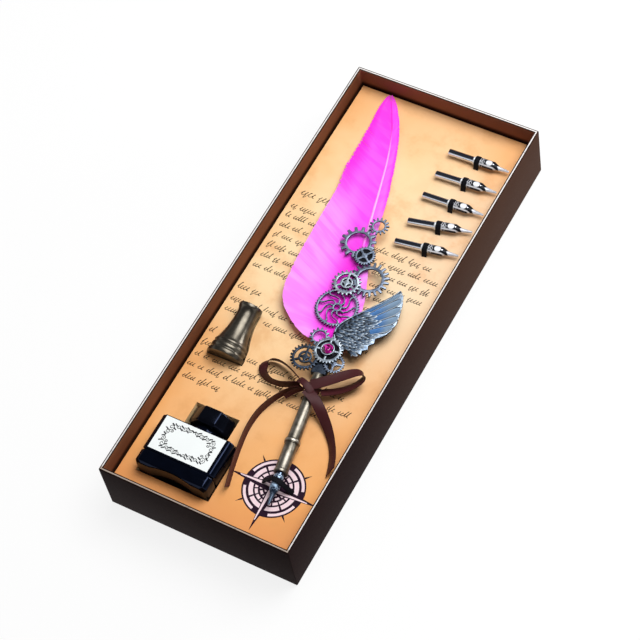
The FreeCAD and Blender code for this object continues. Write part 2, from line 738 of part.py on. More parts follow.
def ribbon_strip(route, width_shares):
    """A flat strip through hand-set points, its width square to its course."""
    places = [Vector(mouth_x + x, mouth_y + y, card_height + height) for x, y, height in route]
    last = len(places) - 1
    ways = [Vector(*shares) for shares in width_shares]
    stretches = len(ways) - 1
    sections = []
    for number, place in enumerate(places):
        heading = places[min(number + 1, last)] - places[max(number - 1, 0)]
        heading.normalize()
        turned_share = number / last * stretches
        before = min(int(turned_share), stretches - 1)
        way = ways[before] + (ways[before + 1] - ways[before]) * (turned_share - before)
        face = heading.cross(way).normalize()
        half_width = face.cross(heading) * (ribbon_width / 2)
        half_face = face * (ribbon_thickness / 2)
        sections.append([
            place + half_width + half_face, place - half_width + half_face,
            place - half_width - half_face, place + half_width - half_face,
        ])
    faces = [Part.Face(Part.makePolygon(end + end[:1])) for end in (sections[0], sections[-1])]
    for before, after in zip(sections, sections[1:]):
        for corner in range(len(before)):
            here = Part.makeLine(before[corner - 1], before[corner])
            there = Part.makeLine(after[corner - 1], after[corner])
            faces.append(Part.makeRuledSurface(here, there))
    strip = Part.Solid(Part.makeShell(faces))
    if strip.Volume < 0:
        strip.reverse()
    return strip


def largest_solid(shape):
    """The biggest solid that a cut leaves."""
    return max(shape.Solids, key=lambda solid: solid.Volume)


def ribbon_bow():
    """Band and knot round the barrel, two loops and two tails."""
    start = knot_along - ribbon_width / 2
    end = knot_along + ribbon_width / 2
    slope = (barrel_back_radius - barrel_front_radius) / barrel_length
    inside = barrel_front_radius + slope * (start - grip_length) + seat_gap
    band = rod(inside + knot_band_thickness, start, end)
    turn = math.radians(knot_lean_angle)
    middle = Vector(knot_along, knot_reach * math.sin(turn), knot_reach * math.cos(turn))
    lump = Part.makeSphere(knot_radius, middle)
    knot = on_pen(joined([band, lump]).cut(rod(inside, start - knot_radius, end + knot_radius)))
    pieces["ribbon_knot"] = knot
    barrel = on_pen(rod(inside + knot_band_thickness, grip_length, barrel_end))
    taken = [knot, barrel]
    routes = {
        "ribbon_right_tail": (right_tail_route, right_tail_width_shares),
        "ribbon_right_loop": (right_loop_route, right_loop_width_shares),
        "ribbon_left_loop": (left_loop_route, left_loop_width_shares),
        "ribbon_left_tail": (left_tail_route, left_tail_width_shares),
    }
    for name, (route, width_shares) in routes.items():
        strip = largest_solid(ribbon_strip(route, width_shares).cut(taken))
        pieces[name] = strip
        taken.append(strip)
    for name in ("ribbon_left_tail", "ribbon_right_tail"):
        print(f"{name} bend radii {route_radii(routes[name][0])} mm")


def route_radii(route):
    """The arc that fits each corner of a route."""
    points = [Vector(*point) for point in route]
    radii = []
    for before, corner, after in zip(points, points[1:], points[2:]):
        run = min((corner - before).Length, (after - corner).Length)
        turn = (corner - before).getAngle(after - corner)
        radii.append(round(corner_run_share * run / math.tan(turn / 2), 1))
    return radii


bottle_x = -insert_half_width + bottle_side_margin + bottle_width / 2
bottle_y = -insert_half_length + bottle_front_margin
bottle_axis_height = foam_low + pocket_floor + rest_gap + bottle_depth / 2
cap_low = bottle_height + shoulder_height + cap_stand_off
cap_top = cap_low + cap_height
neck_top = cap_top - cap_roof - liner_thickness


def on_bottle(shape):
    """A shape from the bottle's frame, Z up its height and its front to -Y, to the box."""
    laid = shape.rotated(centre, along, -90)
    return laid.translated(Vector(bottle_x, bottle_y, bottle_axis_height))


def chamfered_outline(width, depth, chamfer, height):
    """A rectangle with cut corners at a height."""
    half_x = width / 2
    half_y = depth / 2
    flat_x = half_x - chamfer
    flat_y = half_y - chamfer
    corners = (
        (flat_x, -half_y), (half_x, -flat_y), (half_x, flat_y), (flat_x, half_y),
        (-flat_x, half_y), (-half_x, flat_y), (-half_x, -flat_y), (-flat_x, -half_y),
    )
    points = [Vector(x, y, height) for x, y in corners]
    return Part.makePolygon(points + points[:1])


def inset_outline(inset, height):
    """The bottle's outline drawn in by an inset on every side."""
    width = bottle_width - inset - inset
    depth = bottle_depth - inset - inset
    return chamfered_outline(width, depth, bottle_chamfer, height)


def ink_bottle():
    """Glass with a stepped foot, its ink and the label on its front."""
    groove_top = base_height + groove_height
    rings = [
        inset_outline(base_bevel, 0),
        inset_outline(0, base_bevel),
        inset_outline(0, base_height),
        inset_outline(groove_depth, base_height + groove_height / 2),
        inset_outline(0, groove_top),
        inset_outline(0, bottle_height),
        inset_outline(shoulder_inset, bottle_height + shoulder_height),
    ]
    glass = Part.makeLoft(rings, True, True)
    neck_start = bottle_height + shoulder_height - overrun
    neck = Part.makeCylinder(neck_radius, neck_top - neck_start, Vector(0, 0, neck_start))
    glass = joined([glass, neck])
    arch_radius = (arch_width / 2) ** 2 / (arch_rise + arch_rise) + arch_rise / 2
    arch_start = Vector(0, -bottle_depth, arch_rise - arch_radius)
    arch = Part.makeCylinder(arch_radius, bottle_depth + bottle_depth, arch_start, across)

    def hollow(margin):
        inset = glass_wall + margin
        low = inset_outline(inset, inset)
        high = inset_outline(inset, bottle_height - inset)
        return Part.makeLoft([low, high], True, True)

    bore_start = bottle_height - glass_wall - overrun
    bore = Part.makeCylinder(neck_bore_radius, neck_top - bore_start + overrun, Vector(0, 0, bore_start))
    pieces["ink_bottle"] = on_bottle(glass.cut([arch, hollow(0), bore]))
    pieces["ink"] = on_bottle(hollow(ink_gap))

    label_low = (groove_top + bottle_height - label_height) / 2
    front = -bottle_depth / 2
    low = Vector(-label_shift - label_width / 2, front - label_thickness, label_low)
    high = Vector(-label_shift + label_width / 2, front, label_low + label_height)
    pieces["bottle_label"] = on_bottle(box_between(low, high))


def bottle_cap():
    """Octagonal screw cap and the sealing disc inside it."""
    def octagon(width, height):
        corner = width * (1 - math.tan(math.pi / 8)) / 2
        return chamfered_outline(width, width, corner, height)

    narrow = cap_width - cap_bevel
    rings = [
        octagon(narrow, cap_low),
        octagon(cap_width, cap_low + cap_bevel),
        octagon(cap_width, cap_top - cap_bevel / 2),
        octagon(narrow, cap_top),
    ]
    roof = cap_top - cap_roof
    bore = Part.makeCylinder(neck_radius + cap_gap, roof - cap_low + overrun, Vector(0, 0, cap_low - overrun))
    pieces["bottle_cap"] = on_bottle(Part.makeLoft(rings, True, True).cut(bore))
    liner_radius = neck_radius + cap_gap - liner_gap
    liner = Part.makeCylinder(liner_radius, liner_thickness, Vector(0, 0, neck_top))
    pieces["cap_liner"] = on_bottle(liner)


def bottle_pocket():
    """Room for the bottle, and for its cap to turn and come forward."""
    low = foam_low + pocket_floor
    high = card_height + overrun
    half = bottle_width / 2 + pocket_gap
    shoulder = bottle_y + bottle_height + shoulder_height + pocket_gap
    body = box_between(
        Vector(bottle_x - half, bottle_y - pocket_gap, low), Vector(bottle_x + half, shoulder, high)
    )
    swing = cap_width / 2 / math.cos(math.pi / 8) + cap_swing_gap
    far = bottle_y + cap_top + cap_travel + cap_swing_gap
    cap = box_between(Vector(bottle_x - swing, shoulder - overrun, low), Vector(bottle_x + swing, far, high))
    return joined([body, cap])


stand_x = -insert_half_width + stand_side_margin + stand_radius
stand_y = -insert_half_length + stand_front_margin


def on_stand(shape):
    """A shape from the stand's frame, Z from its base to its lip, to where it lies."""
    laid = shape.rotated(centre, along, stand_rise - 90).rotated(centre, up, stand_turn)
    return laid.translated(Vector(stand_x, stand_y, card_height))


def stand_outline(shares, margin):
    """Points of a turned profile: radius out, height up."""
    return [Vector(width * stand_radius + margin, 0, place * stand_length) for place, width in shares]


def turned(edges, low, high):
    """A solid of revolution from a profile's edges and the two heights where it meets the axis."""
    first = edges[0].Vertexes[0].Point
    last = edges[-1].Vertexes[-1].Point
    closing = Part.makePolygon([last, Vector(0, 0, high), Vector(0, 0, low), first])
    wire = Part.Wire(edges + closing.Edges)
    return Part.Face(wire).revolve(centre, up, 360)


def pen_stand():
    """Turned foot with its rings, a hollow-curved waist and a lip round the pen socket."""
    foot = Part.makePolygon(stand_outline(stand_foot_shares, 0)).Edges
    waist = Part.Arc(*stand_outline(stand_waist_shares, 0)).toShape()
    lip = Part.makePolygon(stand_outline(stand_lip_shares, 0)).Edges
    body = turned(foot + [waist] + lip, 0, stand_length)
    bore_start = stand_length - stand_bore_depth
    bore = Part.makeCylinder(stand_bore_radius, stand_bore_depth + overrun, Vector(0, 0, bore_start))
    pieces["pen_stand"] = on_stand(body.cut(bore))


def stand_pocket():
    """A dished pocket that follows the stand with room to lift it straight out."""
    profile = stand_outline(stand_pocket_shares, stand_pocket_gap)
    profile[0].z -= stand_pocket_gap
    profile[-1].z += stand_pocket_spare
    edges = Part.makePolygon(profile).Edges
    return on_stand(turned(edges, profile[0].z, profile[-1].z))


def insert():
    """Foam block and printed card, both cut for the bottle, the stand and the loops' feet."""
    cuts = [bottle_pocket(), stand_pocket()]
    for x, y, turn in spare_nib_places():
        cuts += [on_card(slot, x, y, turn, card_height) for slot in strap_slits(nib_loop_half_span)]
    loop_x = mouth_x + pen_loop_reach * math.sin(lean)
    loop_y = mouth_y - pen_loop_reach * math.cos(lean)
    cuts += [on_card(slot, loop_x, loop_y, 90, card_height) for slot in strap_slits(pen_loop_half_span)]
    foam = block(insert_half_width, insert_half_length, foam_low, foam_high)
    card = block(insert_half_width, insert_half_length, foam_high, card_height)
    pieces["insert_foam"] = foam.cut(cuts)
    pieces["parchment_card"] = card.cut(cuts)
    loop = strap(pen_loop_radius, pen_axis_height - card_height, pen_loop_half_span)
    pieces["pen_loop"] = on_card(loop, loop_x, loop_y, 90, card_height)


tray_walls()
tray_wrap()
tray_bottom_sheet()
insert()
spare_nibs()
pen_tubes()
pen_nib()
feather_pieces()
gear_charms()
jewel_and_bezel()
wing_charm()
ribbon_bow()
ink_bottle()
bottle_cap()
pen_stand()

os.makedirs("parts", exist_ok=True)
for name, shape in pieces.items():
    shape.exportStep(f"parts/{name}.step")
    solids = len(shape.Solids)
    print(f"{name}: {solids} solid, {shape.Volume:.1f} mm3, valid {shape.isValid()}")
print(f"feather length {feather_length:.1f} mm")
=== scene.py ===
import math
import random

import bpy
import numpy as np
from mathutils import Matrix, Vector


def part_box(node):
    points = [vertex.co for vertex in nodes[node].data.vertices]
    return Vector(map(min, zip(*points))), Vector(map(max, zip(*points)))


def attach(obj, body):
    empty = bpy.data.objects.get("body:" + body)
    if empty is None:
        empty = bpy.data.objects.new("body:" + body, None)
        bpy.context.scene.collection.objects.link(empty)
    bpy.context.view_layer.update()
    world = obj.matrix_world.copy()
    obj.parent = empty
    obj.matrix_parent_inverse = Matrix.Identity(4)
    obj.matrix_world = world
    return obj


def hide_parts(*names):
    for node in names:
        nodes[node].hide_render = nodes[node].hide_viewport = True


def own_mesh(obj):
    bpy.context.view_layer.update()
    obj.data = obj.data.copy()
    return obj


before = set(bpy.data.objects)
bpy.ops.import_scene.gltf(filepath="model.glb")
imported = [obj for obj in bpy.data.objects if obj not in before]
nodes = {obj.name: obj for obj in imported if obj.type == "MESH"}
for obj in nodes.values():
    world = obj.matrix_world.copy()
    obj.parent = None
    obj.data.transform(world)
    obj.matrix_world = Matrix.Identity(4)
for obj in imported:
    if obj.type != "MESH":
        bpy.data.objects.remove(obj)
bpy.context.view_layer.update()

scene = bpy.context.scene
scene.view_settings.view_transform = "Standard"

# Studio: the camera stands where the photograph was taken from, over a plain pale floor. A broad soft
# lamp hangs high over the box's far end and a small one stands low at its right. The surround is white
# along the horizon and dark overhead, so that metal and glass show both.
mm = 0.001
azimuth = math.radians(39.6025)
elevation = math.radians(57.407)
roll = math.radians(-12.768)
aim = Vector((-10.319, 2.893, 0)) * mm
stand_off = 1271.45 * mm
level = Vector((math.cos(azimuth), math.sin(azimuth), 0))
back = Vector((0, 0, math.sin(elevation))) + level.cross(Vector((0, 0, 1))) * math.cos(elevation)
rise = back.cross(level)
right = level * math.cos(roll) + rise * math.sin(roll)
top = rise * math.cos(roll) - level * math.sin(roll)
lens = bpy.data.cameras.new("photo_lens")
lens.lens = 128.26
lens.sensor_width = 36
camera = bpy.data.objects.new("photo_camera", lens)
scene.collection.objects.link(camera)
camera_turn = Matrix((right, top, back)).transposed().to_4x4()
camera.matrix_world = Matrix.Translation(aim + back * stand_off) @ camera_turn
scene.camera = camera


def lamp(name, place, size, power):
    """A square soft lamp aimed at the box."""
    light = bpy.data.lights.new(name, "AREA")
    light.size = size
    light.energy = power
    holder = bpy.data.objects.new(name, light)
    scene.collection.objects.link(holder)
    holder.location = place
    holder.rotation_euler = Vector(place).to_track_quat("Z", "Y").to_euler()


lamp("high_lamp", (0.4, 0.6, 1.5), size=1.2, power=30)
lamp("low_lamp", (0.42, 0.5, 0.09), size=0.16, power=2.0)


def tint(code):
    """A written colour, #rrggbb, as the linear colour that a socket takes."""
    parts = [int(code[place:place + 2], 16) / 255 for place in (1, 3, 5)]
    return [part / 12.92 if part <= 0.04045 else ((part + 0.055) / 1.055) ** 2.4 for part in parts] + [1]


def worked(operation, turned=False):
    """A method that adds a Math node for a tone and another value, or for the two the other way round."""

    def method(self, other=0.0):
        first, second = (other, self) if turned else (self, other)
        return self.finish.node("Math", {"operation": operation}, {0: first, 1: second})

    return method


class Tone:
    """A node's output. Arithmetic on it adds Math nodes, and its methods add the nodes that it feeds."""

    def __init__(self, finish, socket):
        self.finish = finish
        self.socket = socket

    __add__ = __radd__ = worked("ADD")
    __sub__ = worked("SUBTRACT")
    __rsub__ = worked("SUBTRACT", True)
    __mul__ = __rmul__ = worked("MULTIPLY")
    __truediv__ = worked("DIVIDE")
    __rtruediv__ = worked("DIVIDE", True)
    __pow__ = worked("POWER")
    __abs__ = worked("ABSOLUTE")
    most = worked("MAXIMUM")
    least = worked("MINIMUM")
    wave = worked("SINE")

    def span(self, low, high):
        """0 below low, 1 above high, and a smooth way between."""
        settings = {"interpolation_type": "SMOOTHSTEP"}
        return self.finish.node("MapRange", settings, {"Value": self, "From Min": low, "From Max": high})

    def mix(self, first, second):
        """The first colour where this is 0, and the second where it is 1."""
        return self.finish.node("Mix", {"data_type": "RGBA"}, {0: self, 6: first, 7: second}, 2)

    def ramp(self, *stops):
        return self.finish.node("ValToRGB", {"stops": stops}, {0: self})

    def bump(self, depth):
        """Relief of a depth in millimetres."""
        return self.finish.node("Bump", None, {"Height": self, "Distance": depth * mm})

    def stretched(self, scale):
        return self.finish.node("Mapping", None, {"Vector": self, "Scale": scale})

    def parts(self, letters="XYZ"):
        return [self.finish.node("SeparateXYZ", None, {0: self}, letter) for letter in letters]


class Finish:
    """The nodes of a material or of the surround. A colour may be written as #rrggbb."""

    def __init__(self, owner):
        owner.use_nodes = True
        self.owner = owner
        self.tree = owner.node_tree

    def node(self, kind, settings=None, inputs=None, output=0):
        added = self.tree.nodes.new("ShaderNode" + kind)
        for name, value in (settings or {}).items():
            if name == "stops":
                ramp = added.color_ramp.elements
                while len(ramp) < len(value):
                    ramp.new(1)
                for element, (place, colour) in zip(ramp, value):
                    element.position = place
                    element.color = tint(colour)
            else:
                setattr(added, name, value)
        for name, value in (inputs or {}).items():
            self.feed(added.inputs[name], value)
        return Tone(self, added.outputs[output])

    def feed(self, socket, value):
        if isinstance(value, Tone):
            self.tree.links.new(value.socket, socket)
        else:
            socket.default_value = tint(value) if isinstance(value, str) else value

    def place(self):
        """Object coordinates, as a vector and as its three parts."""
        whole = self.node("TexCoord", None, None, "Object")
        return [whole] + whole.parts()

    def strip(self):
        """The piece's own map, as a vector and as its two parts."""
        whole = self.node("UVMap")
        return [whole] + whole.parts("XY")

    def noise(self, scale, detail=2.0, where=None, rough=0.5):
        inputs = {"Scale": scale, "Detail": detail, "Roughness": rough}
        inputs["Vector"] = where or self.node("TexCoord", None, None, "Object")
        return self.node("TexNoise", None, inputs)

    def seen(self):
        """1 for the rays that show a thing and 0 for those that only carry its light."""
        ways = ("Is Camera Ray", "Is Glossy Ray", "Is Transmission Ray")
        straight, mirrored, through = [self.node("LightPath", None, None, way) for way in ways]
        return straight.most(mirrored).most(through)

    def dress(self, **sockets):
        shader = self.tree.nodes["Principled BSDF"]
        for name, value in sockets.items():
            self.feed(shader.inputs[name.replace("_", " ")], value)
        return self


def material(name):
    return Finish(bpy.data.materials.new(name))


surround = Finish(bpy.data.worlds.new("surround"))
scene.world = surround.owner
facing = surround.node("TexCoord", None, None, "Generated")
facing_x, facing_y, facing_z = facing.parts()
horizon_stops = ((0.0, "#ffffff"), (0.22, "#ffffff"), (0.48, "#34363d"), (1.0, "#2a2c33"))
horizon = (facing_z + facing_y * 0.3).ramp(*horizon_stops)
soft_fill = (0.5 + facing_y * 0.43 - facing_x * 0.25).ramp((0.0, "#3c3c3c"), (1.0, "#b0b0b0"))
surround_colour = surround.seen().mix(soft_fill, horizon)
surround.feed(surround.tree.nodes["Background"].inputs["Color"], surround_colour)

floor_paint = material("floor_paint")
floor_colour = floor_paint.seen().mix("#6a6a6a", "#f8f8f8")
floor_paint.dress(Base_Color=floor_colour, Roughness=0.9)
white = floor_paint.node("Emission", None, {"Color": "#ffffff", "Strength": 1.0})
lit = Tone(floor_paint, floor_paint.tree.nodes["Principled BSDF"].outputs[0])
floor_shade = floor_paint.node("MixShader", None, {0: floor_paint.seen() * 0.85, 1: lit, 2: white})
floor_paint.feed(floor_paint.tree.nodes["Material Output"].inputs["Surface"], floor_shade)
bpy.ops.object.select_all(action="DESELECT")
bpy.ops.mesh.primitive_plane_add(size=9, location=(0, 0, -0.2 * mm))
floor = bpy.context.active_object
floor.name = "floor"
floor.data.materials.append(floor_paint.owner)

# Tray boards: five panels of greyboard glued edge to edge, and a sheet of black lining paper glued
# under the base. The wrap hides them from outside, and they show when the insert is lifted out.


def mottled(name, scale, detail, dark, pale, **sockets):
    """A finish in two tones that cloud into each other, with its other sockets as given."""
    finish = material(name)
    cloud = finish.noise(scale, detail)
    return finish.dress(Base_Color=cloud.mix(dark, pale), **sockets)


def wears(node, finish):
    """Gives its finish to a CAD node that stays in sight."""
    nodes[node].material_slots[0].material = finish.owner


greyboard = material("greyboard")
fibre = greyboard.noise(900, 4)
fleck = greyboard.noise(260, 3)
greyboard.dress(
    Base_Color=fleck.span(0.42, 0.62).mix("#857b70", "#9a9084"),
    Roughness=0.85,
    Normal=fibre.bump(0.06),
)
for name in ("tray_base_board", "tray_left_wall", "tray_right_wall", "tray_front_wall", "tray_back_wall"):
    wears(name, greyboard)
lining = mottled("lining_paper", 2400, 3, "#1d1917", "#2b2522", Roughness=0.7)
lining.dress(Normal=lining.noise(2400, 3).bump(0.03))
wears("tray_bottom_sheet", lining)

# Tray wrap: one sheet of dark brown pearl paper with a fine grain, glued round the walls, folded over
# the rim and down inside, and turned in under the base. Its colour carries painted light: darker toward
# the front, paler and warmer inside, and painted shade at the foot of the inside walls. The rim's fold
# is rubbed pale, with a painted highlight on it and painted dark lines of shade either side.
tray_width = 115 * mm
tray_length = 290 * mm
tray_height = 37.5 * mm
wrap_low = 0.25 * mm
wall_thickness = 2.1 * mm
wrap_thickness = 0.2 * mm
wrap_fold = 0.5 * mm
inner_flap = 16 * mm
base_flap = 15 * mm


def pick(piece):
    """Selects one piece alone and makes it the active one."""
    bpy.ops.object.select_all(action="DESELECT")
    piece.select_set(True)
    bpy.context.view_layer.objects.active = piece
    return piece


def select_faces(piece, wanted):
    """Goes into edit mode with the faces selected that a test takes."""
    bpy.ops.object.mode_set(mode="EDIT")
    bpy.ops.mesh.select_mode(type="FACE")
    bpy.ops.mesh.select_all(action="DESELECT")
    bpy.ops.object.mode_set(mode="OBJECT")
    for face in piece.data.polygons:
        face.select = wanted(face)
    bpy.ops.object.mode_set(mode="EDIT")


def modified(piece, kind, **settings):
    """Adds a modifier and applies it."""
    pick(piece)
    change = piece.modifiers.new(kind.lower(), kind)
    for name, value in settings.items():
        setattr(change, name, value)
    bpy.ops.object.modifier_apply(modifier=change.name)


def smoothed(piece, angle):
    pick(piece)
    bpy.ops.object.shade_smooth_by_angle(angle=math.radians(angle))


def coated(piece, *finishes):
    """Gives a piece its finishes, in place of any that it has."""
    piece.data.materials.clear()
    for finish in finishes:
        piece.data.materials.append(finish.owner)
    return piece


def finished(piece, name, finish, body, slot, *replaced):
    """Names a piece, gives it any finish and its body, and hides the CAD nodes that it stands for; its slot
    is not used.
    """
    piece.name = name
    if finish:
        coated(piece, finish)
    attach(piece, body)
    if replaced:
        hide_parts(*replaced)
    return piece


bpy.ops.object.select_all(action="DESELECT")
wrap_middle = (tray_height + wrap_low) / 2
wrap_size = (tray_width, tray_length, tray_height - wrap_low)
bpy.ops.mesh.primitive_cube_add(size=1, location=(0, 0, wrap_middle), scale=wrap_size)
bpy.ops.object.transform_apply()
wrap = bpy.context.active_object
select_faces(wrap, lambda face: face.normal.z > 0.9)
bpy.ops.mesh.inset(thickness=wall_thickness)
bpy.ops.mesh.extrude_region_move(TRANSFORM_OT_translate={"value": (0, 0, -inner_flap)})
bpy.ops.mesh.delete(type="FACE")
bpy.ops.object.mode_set(mode="OBJECT")
select_faces(wrap, lambda face: face.normal.z < -0.9)
bpy.ops.mesh.inset(thickness=base_flap)
bpy.ops.mesh.delete(type="FACE")
bpy.ops.object.mode_set(mode="OBJECT")
modified(wrap, "BEVEL", width=wrap_fold, segments=3, limit_method="ANGLE", angle_limit=math.radians(40))
modified(wrap, "SOLIDIFY", thickness=wrap_thickness, offset=-1)
smoothed(wrap, 40)

wrap_paper = material("wrap_paper")
wrap_x, wrap_y, wrap_z = wrap_paper.place()[1:]
grain = wrap_paper.noise(3200, 3)
cloud = wrap_paper.noise(22, 3)
pearl = wrap_paper.noise(700, 2)
edge_way = (tray_width / 2 - abs(wrap_x)).least(tray_length / 2 - abs(wrap_y))
inside = edge_way.span(1.85 * mm, 2.0 * mm)
# Painted light: the outside of the wrap is painted darker toward the front and lighter toward the back.
wrap_brown_painted_light = wrap_y.span(-90 * mm, 80 * mm).mix("#1f1316", "#452d22")
# Painted light: the inside faces are painted paler and warmer than the outside, as light thrown back from
# the card, and the back wall's inner face paler still.
inner_painted_bounce = wrap_y.span(138 * mm, 142 * mm).mix("#764830", "#965f49")
wrap_brown_painted_light = inside.mix(wrap_brown_painted_light, inner_painted_bounce)
wrap_brown_painted_light = (cloud.span(0.3, 0.7) * 0.2).mix(wrap_brown_painted_light, "#2c1c17")
wrap_brown_painted_light = (pearl * 0.12).mix(wrap_brown_painted_light, "#664a3c")
# Painted shade: the inside walls are painted nearly black just above the card, where shade falls.
foot_shade = inside * wrap_z.span(28.5 * mm, 25 * mm) * 0.85
wrap_brown_painted_light = foot_shade.mix(wrap_brown_painted_light, "#160c08")
rub = wrap_paper.noise(420, 3) * 0.5 + wrap_paper.noise(60, 2) * 0.5
# The rim's top is painted dark, as shade, either side of a pale line along its fold. The pale line is partly
# rubbed wear and partly a painted highlight, and it is painted duller along the front rim.
rim_top = wrap_z.span(tray_height - 0.32 * mm, tray_height - 0.12 * mm)
rim_band = edge_way.span(0.6 * mm, 0.8 * mm) * edge_way.span(1.45 * mm, 1.25 * mm)
wear_and_highlight = rim_top * rim_band * rub.span(0.3, 0.42)
wrap_brown_painted_light = (rim_top * 0.8).mix(wrap_brown_painted_light, "#1f1410")
rim_pale_highlight = wrap_y.span(-142.2 * mm, -142.8 * mm).mix("#ece7e5", "#b3a498")
wrap_paper.dress(
    Base_Color=wear_and_highlight.mix(wrap_brown_painted_light, rim_pale_highlight),
    Roughness=0.5 + grain * 0.16,
    Specular_IOR_Level=0.02,
    Normal=grain.bump(0.035),
)
finished(wrap, "tray_wrap_paper", wrap_paper, "tray", "wrap_paper", "tray_wrap")

# Insert: a block of tan foam with pockets for the bottle and the stand, faced with a printed card.
# The card is tan parchment paper, lighter in the middle and browned toward its edges.


def softened(node, width, segments=2, angle=30, smooth=40, whole=True):
    """A copy of a CAD node, its triangles merged to whole faces, then its edges rounded by millimetres."""
    piece = nodes[node].copy()
    piece.data = nodes[node].data.copy()
    for key in list(piece.keys()):
        del piece[key]
    piece.parent = None
    scene.collection.objects.link(piece)
    pick(piece)
    bpy.ops.mesh.customdata_custom_splitnormals_clear()
    bpy.ops.object.mode_set(mode="EDIT")
    bpy.ops.mesh.select_all(action="SELECT")
    bpy.ops.mesh.remove_doubles(threshold=0.002 * mm)
    if whole:
        bpy.ops.mesh.dissolve_limited(angle_limit=math.radians(0.5))
    bpy.ops.object.mode_set(mode="OBJECT")
    if width:
        settings = {"limit_method": "ANGLE", "angle_limit": math.radians(angle)}
        settings["use_clamp_overlap"] = not whole
        modified(piece, "BEVEL", width=width * mm, segments=segments, **settings)
    smoothed(piece, smooth)
    return piece


foam = mottled("insert_foam", 90, 3, "#efc58c", "#fad6a0", Roughness=0.92)
pore = foam.node("TexVoronoi", None, {"Vector": foam.place()[0], "Scale": 1500})
foam.dress(Normal=pore.bump(0.15))
foam_block = softened("insert_foam", 0.35)
finished(foam_block, "foam_block", foam, "insert", "foam", "insert_foam")

parchment = material("parchment")
sheet_x, sheet_y = parchment.place()[1:3]
card_half_width = 54.2 * mm
card_half_length = 141.7 * mm
blot = parchment.noise(16, 4, rough=0.6)
stain = parchment.noise(55, 5, rough=0.6)
tooth = parchment.noise(1800, 3)
side_share = abs(sheet_x + 4 * mm) / card_half_width
end_share = abs(sheet_y - 22 * mm) / (card_half_length * 1.15)
browning = side_share ** 3.0 * 0.4 + end_share ** 2.2 * 0.65 + (blot - 0.5) * 1.2
tan = browning.ramp((0.0, "#ffe3b2"), (0.3, "#fdd096"), (0.62, "#f5b56c"), (1.0, "#e0924c"))
near_end = sheet_y.span(30 * mm, -110 * mm)
far_end = sheet_y.span(90 * mm, 138 * mm)
right_side = sheet_x.span(-10 * mm, 40 * mm) * (1 - near_end) * (1 - far_end)
tan = (right_side * 0.5).mix(tan, "#fbe3c8")
front_edge = sheet_y.span(-112 * mm, -140 * mm)
tan = (near_end * 0.6).mix(tan, "#f3a456")
tan = (front_edge * 0.45).mix(tan, "#dd8a4a")
tan = (far_end * 0.6).mix(tan, "#ffbd80")
tan = (stain.span(0.45, 0.72) * 0.45).mix(tan, "#e09a54")
parchment.dress(
    Base_Color=(tooth * 0.12).mix(tan, "#c98b52"),
    Roughness=0.62,
    Normal=tooth.bump(0.02),
)
wears("parchment_card", parchment)

# Printed strokes: rows of brown-black pen strokes across the card and a compass rose under the nib,
# printed flat on the paper.
card_top = 25 * mm
print_lift = 0.03 * mm
stroke_rows = (
    (59.5, -50.9, -22.0, 1.35), (49.5, -51.8, -37.0, 1.1), (42.9, -51.8, 47.5, 1.0),
    (35.8, -51.6, 50.6, 1.0), (28.8, -51.4, 50.2, 1.0), (21.3, -51.4, 45.0, 1.0),
    (13.9, -51.5, 27.4, 1.0), (6.2, -52.1, 44.6, 1.0), (-9.8, -52.7, -37.7, 1.1),
    (-18.1, -52.5, 40.1, 1.0), (-25.3, -52.1, -2.5, 1.0), (-41.0, -53.0, -46.5, 1.1),
    (-49.3, -52.8, 37.4, 1.0), (-57.2, -52.7, 48.9, 1.0), (-64.2, -53.4, 33.7, 1.0),
    (-72.0, -51.8, -25.2, 1.0),
)


def nurbs_lines(name, runs, resolution, bevel=0.0, facets=0):
    """A curve of NURBS lines, each through a list of places with their radii, round where it has a bevel."""
    line = bpy.data.curves.new(name, "CURVE")
    line.dimensions = "3D"
    line.bevel_depth = bevel
    line.bevel_resolution = facets
    line.use_fill_caps = True
    for run in runs:
        spline = line.splines.new("NURBS")
        spline.points.add(len(run) - 1)
        for point, (place, radius) in zip(spline.points, run):
            point.co = (*place, 1)
            point.radius = radius
        spline.order_u = 3
        spline.use_endpoint_u = True
        spline.resolution_u = resolution
    holder = bpy.data.objects.new(name, line)
    scene.collection.objects.link(holder)
    return holder


def as_mesh(holder):
    """Makes a curve object a mesh."""
    pick(holder)
    bpy.ops.object.convert(target="MESH")
    return bpy.context.active_object


def flat_strokes(strokes, width, height):
    """Pen strokes through lists of points in millimetres, as one thin flat mesh."""
    runs = [[((x * mm, y * mm, 0), 1) for x, y in stroke] for stroke in strokes]
    piece = as_mesh(nurbs_lines("strokes", runs, resolution=3, bevel=width / 2))
    piece.scale.z = print_lift / width
    piece.location.z = height + print_lift / 2
    bpy.ops.object.transform_apply()
    return piece


def scribble(draw, x, end, y, size):
    """Runs of slanted humps and loops, joined as a quick pen joins them, from x to an end along one row."""
    strokes = []
    slant = 0.3
    while x < end - 5 * size:
        stroke = [(x, y + 0.8 * size)]
        for hump in range(draw.randint(2, 6)):
            high = size * draw.choice((2.1, 2.2, 2.3, 2.4, 2.4, 4.1))
            low = size * draw.choice((0.0, 0.0, 0.0, 0.0, -1.7))
            step = size * draw.uniform(1.35, 2.0)
            knots = ((0.1, 0.55 * high), (0.5, high), (0.2, 0.9 * high), (0.15, 0.3 * high), (0.3, low))
            for share, height in knots:
                stroke.append((x + share * step + slant * height, y + height))
            x += step
            stroke.append((x - 0.1 * step, y + 0.25 * size))
        strokes.append(stroke)
        x += size * draw.uniform(1.5, 2.3)
    return strokes


def over_pocket(x, y):
    """True for a place over the bottle's pocket or the stand's."""
    bottle_room = -46.5 < x < 0.5 and -133 < y < -96.5
    cap_room = -37.5 < x < -8.5 and -97 < y < -81
    narrowing = min(1, max(0, (y + 50) / 20))
    stand_room = abs(x + 35.8) < 11.9 - 4.0 * narrowing and -54.5 < y < -17.5
    return bottle_room or cap_room or stand_room


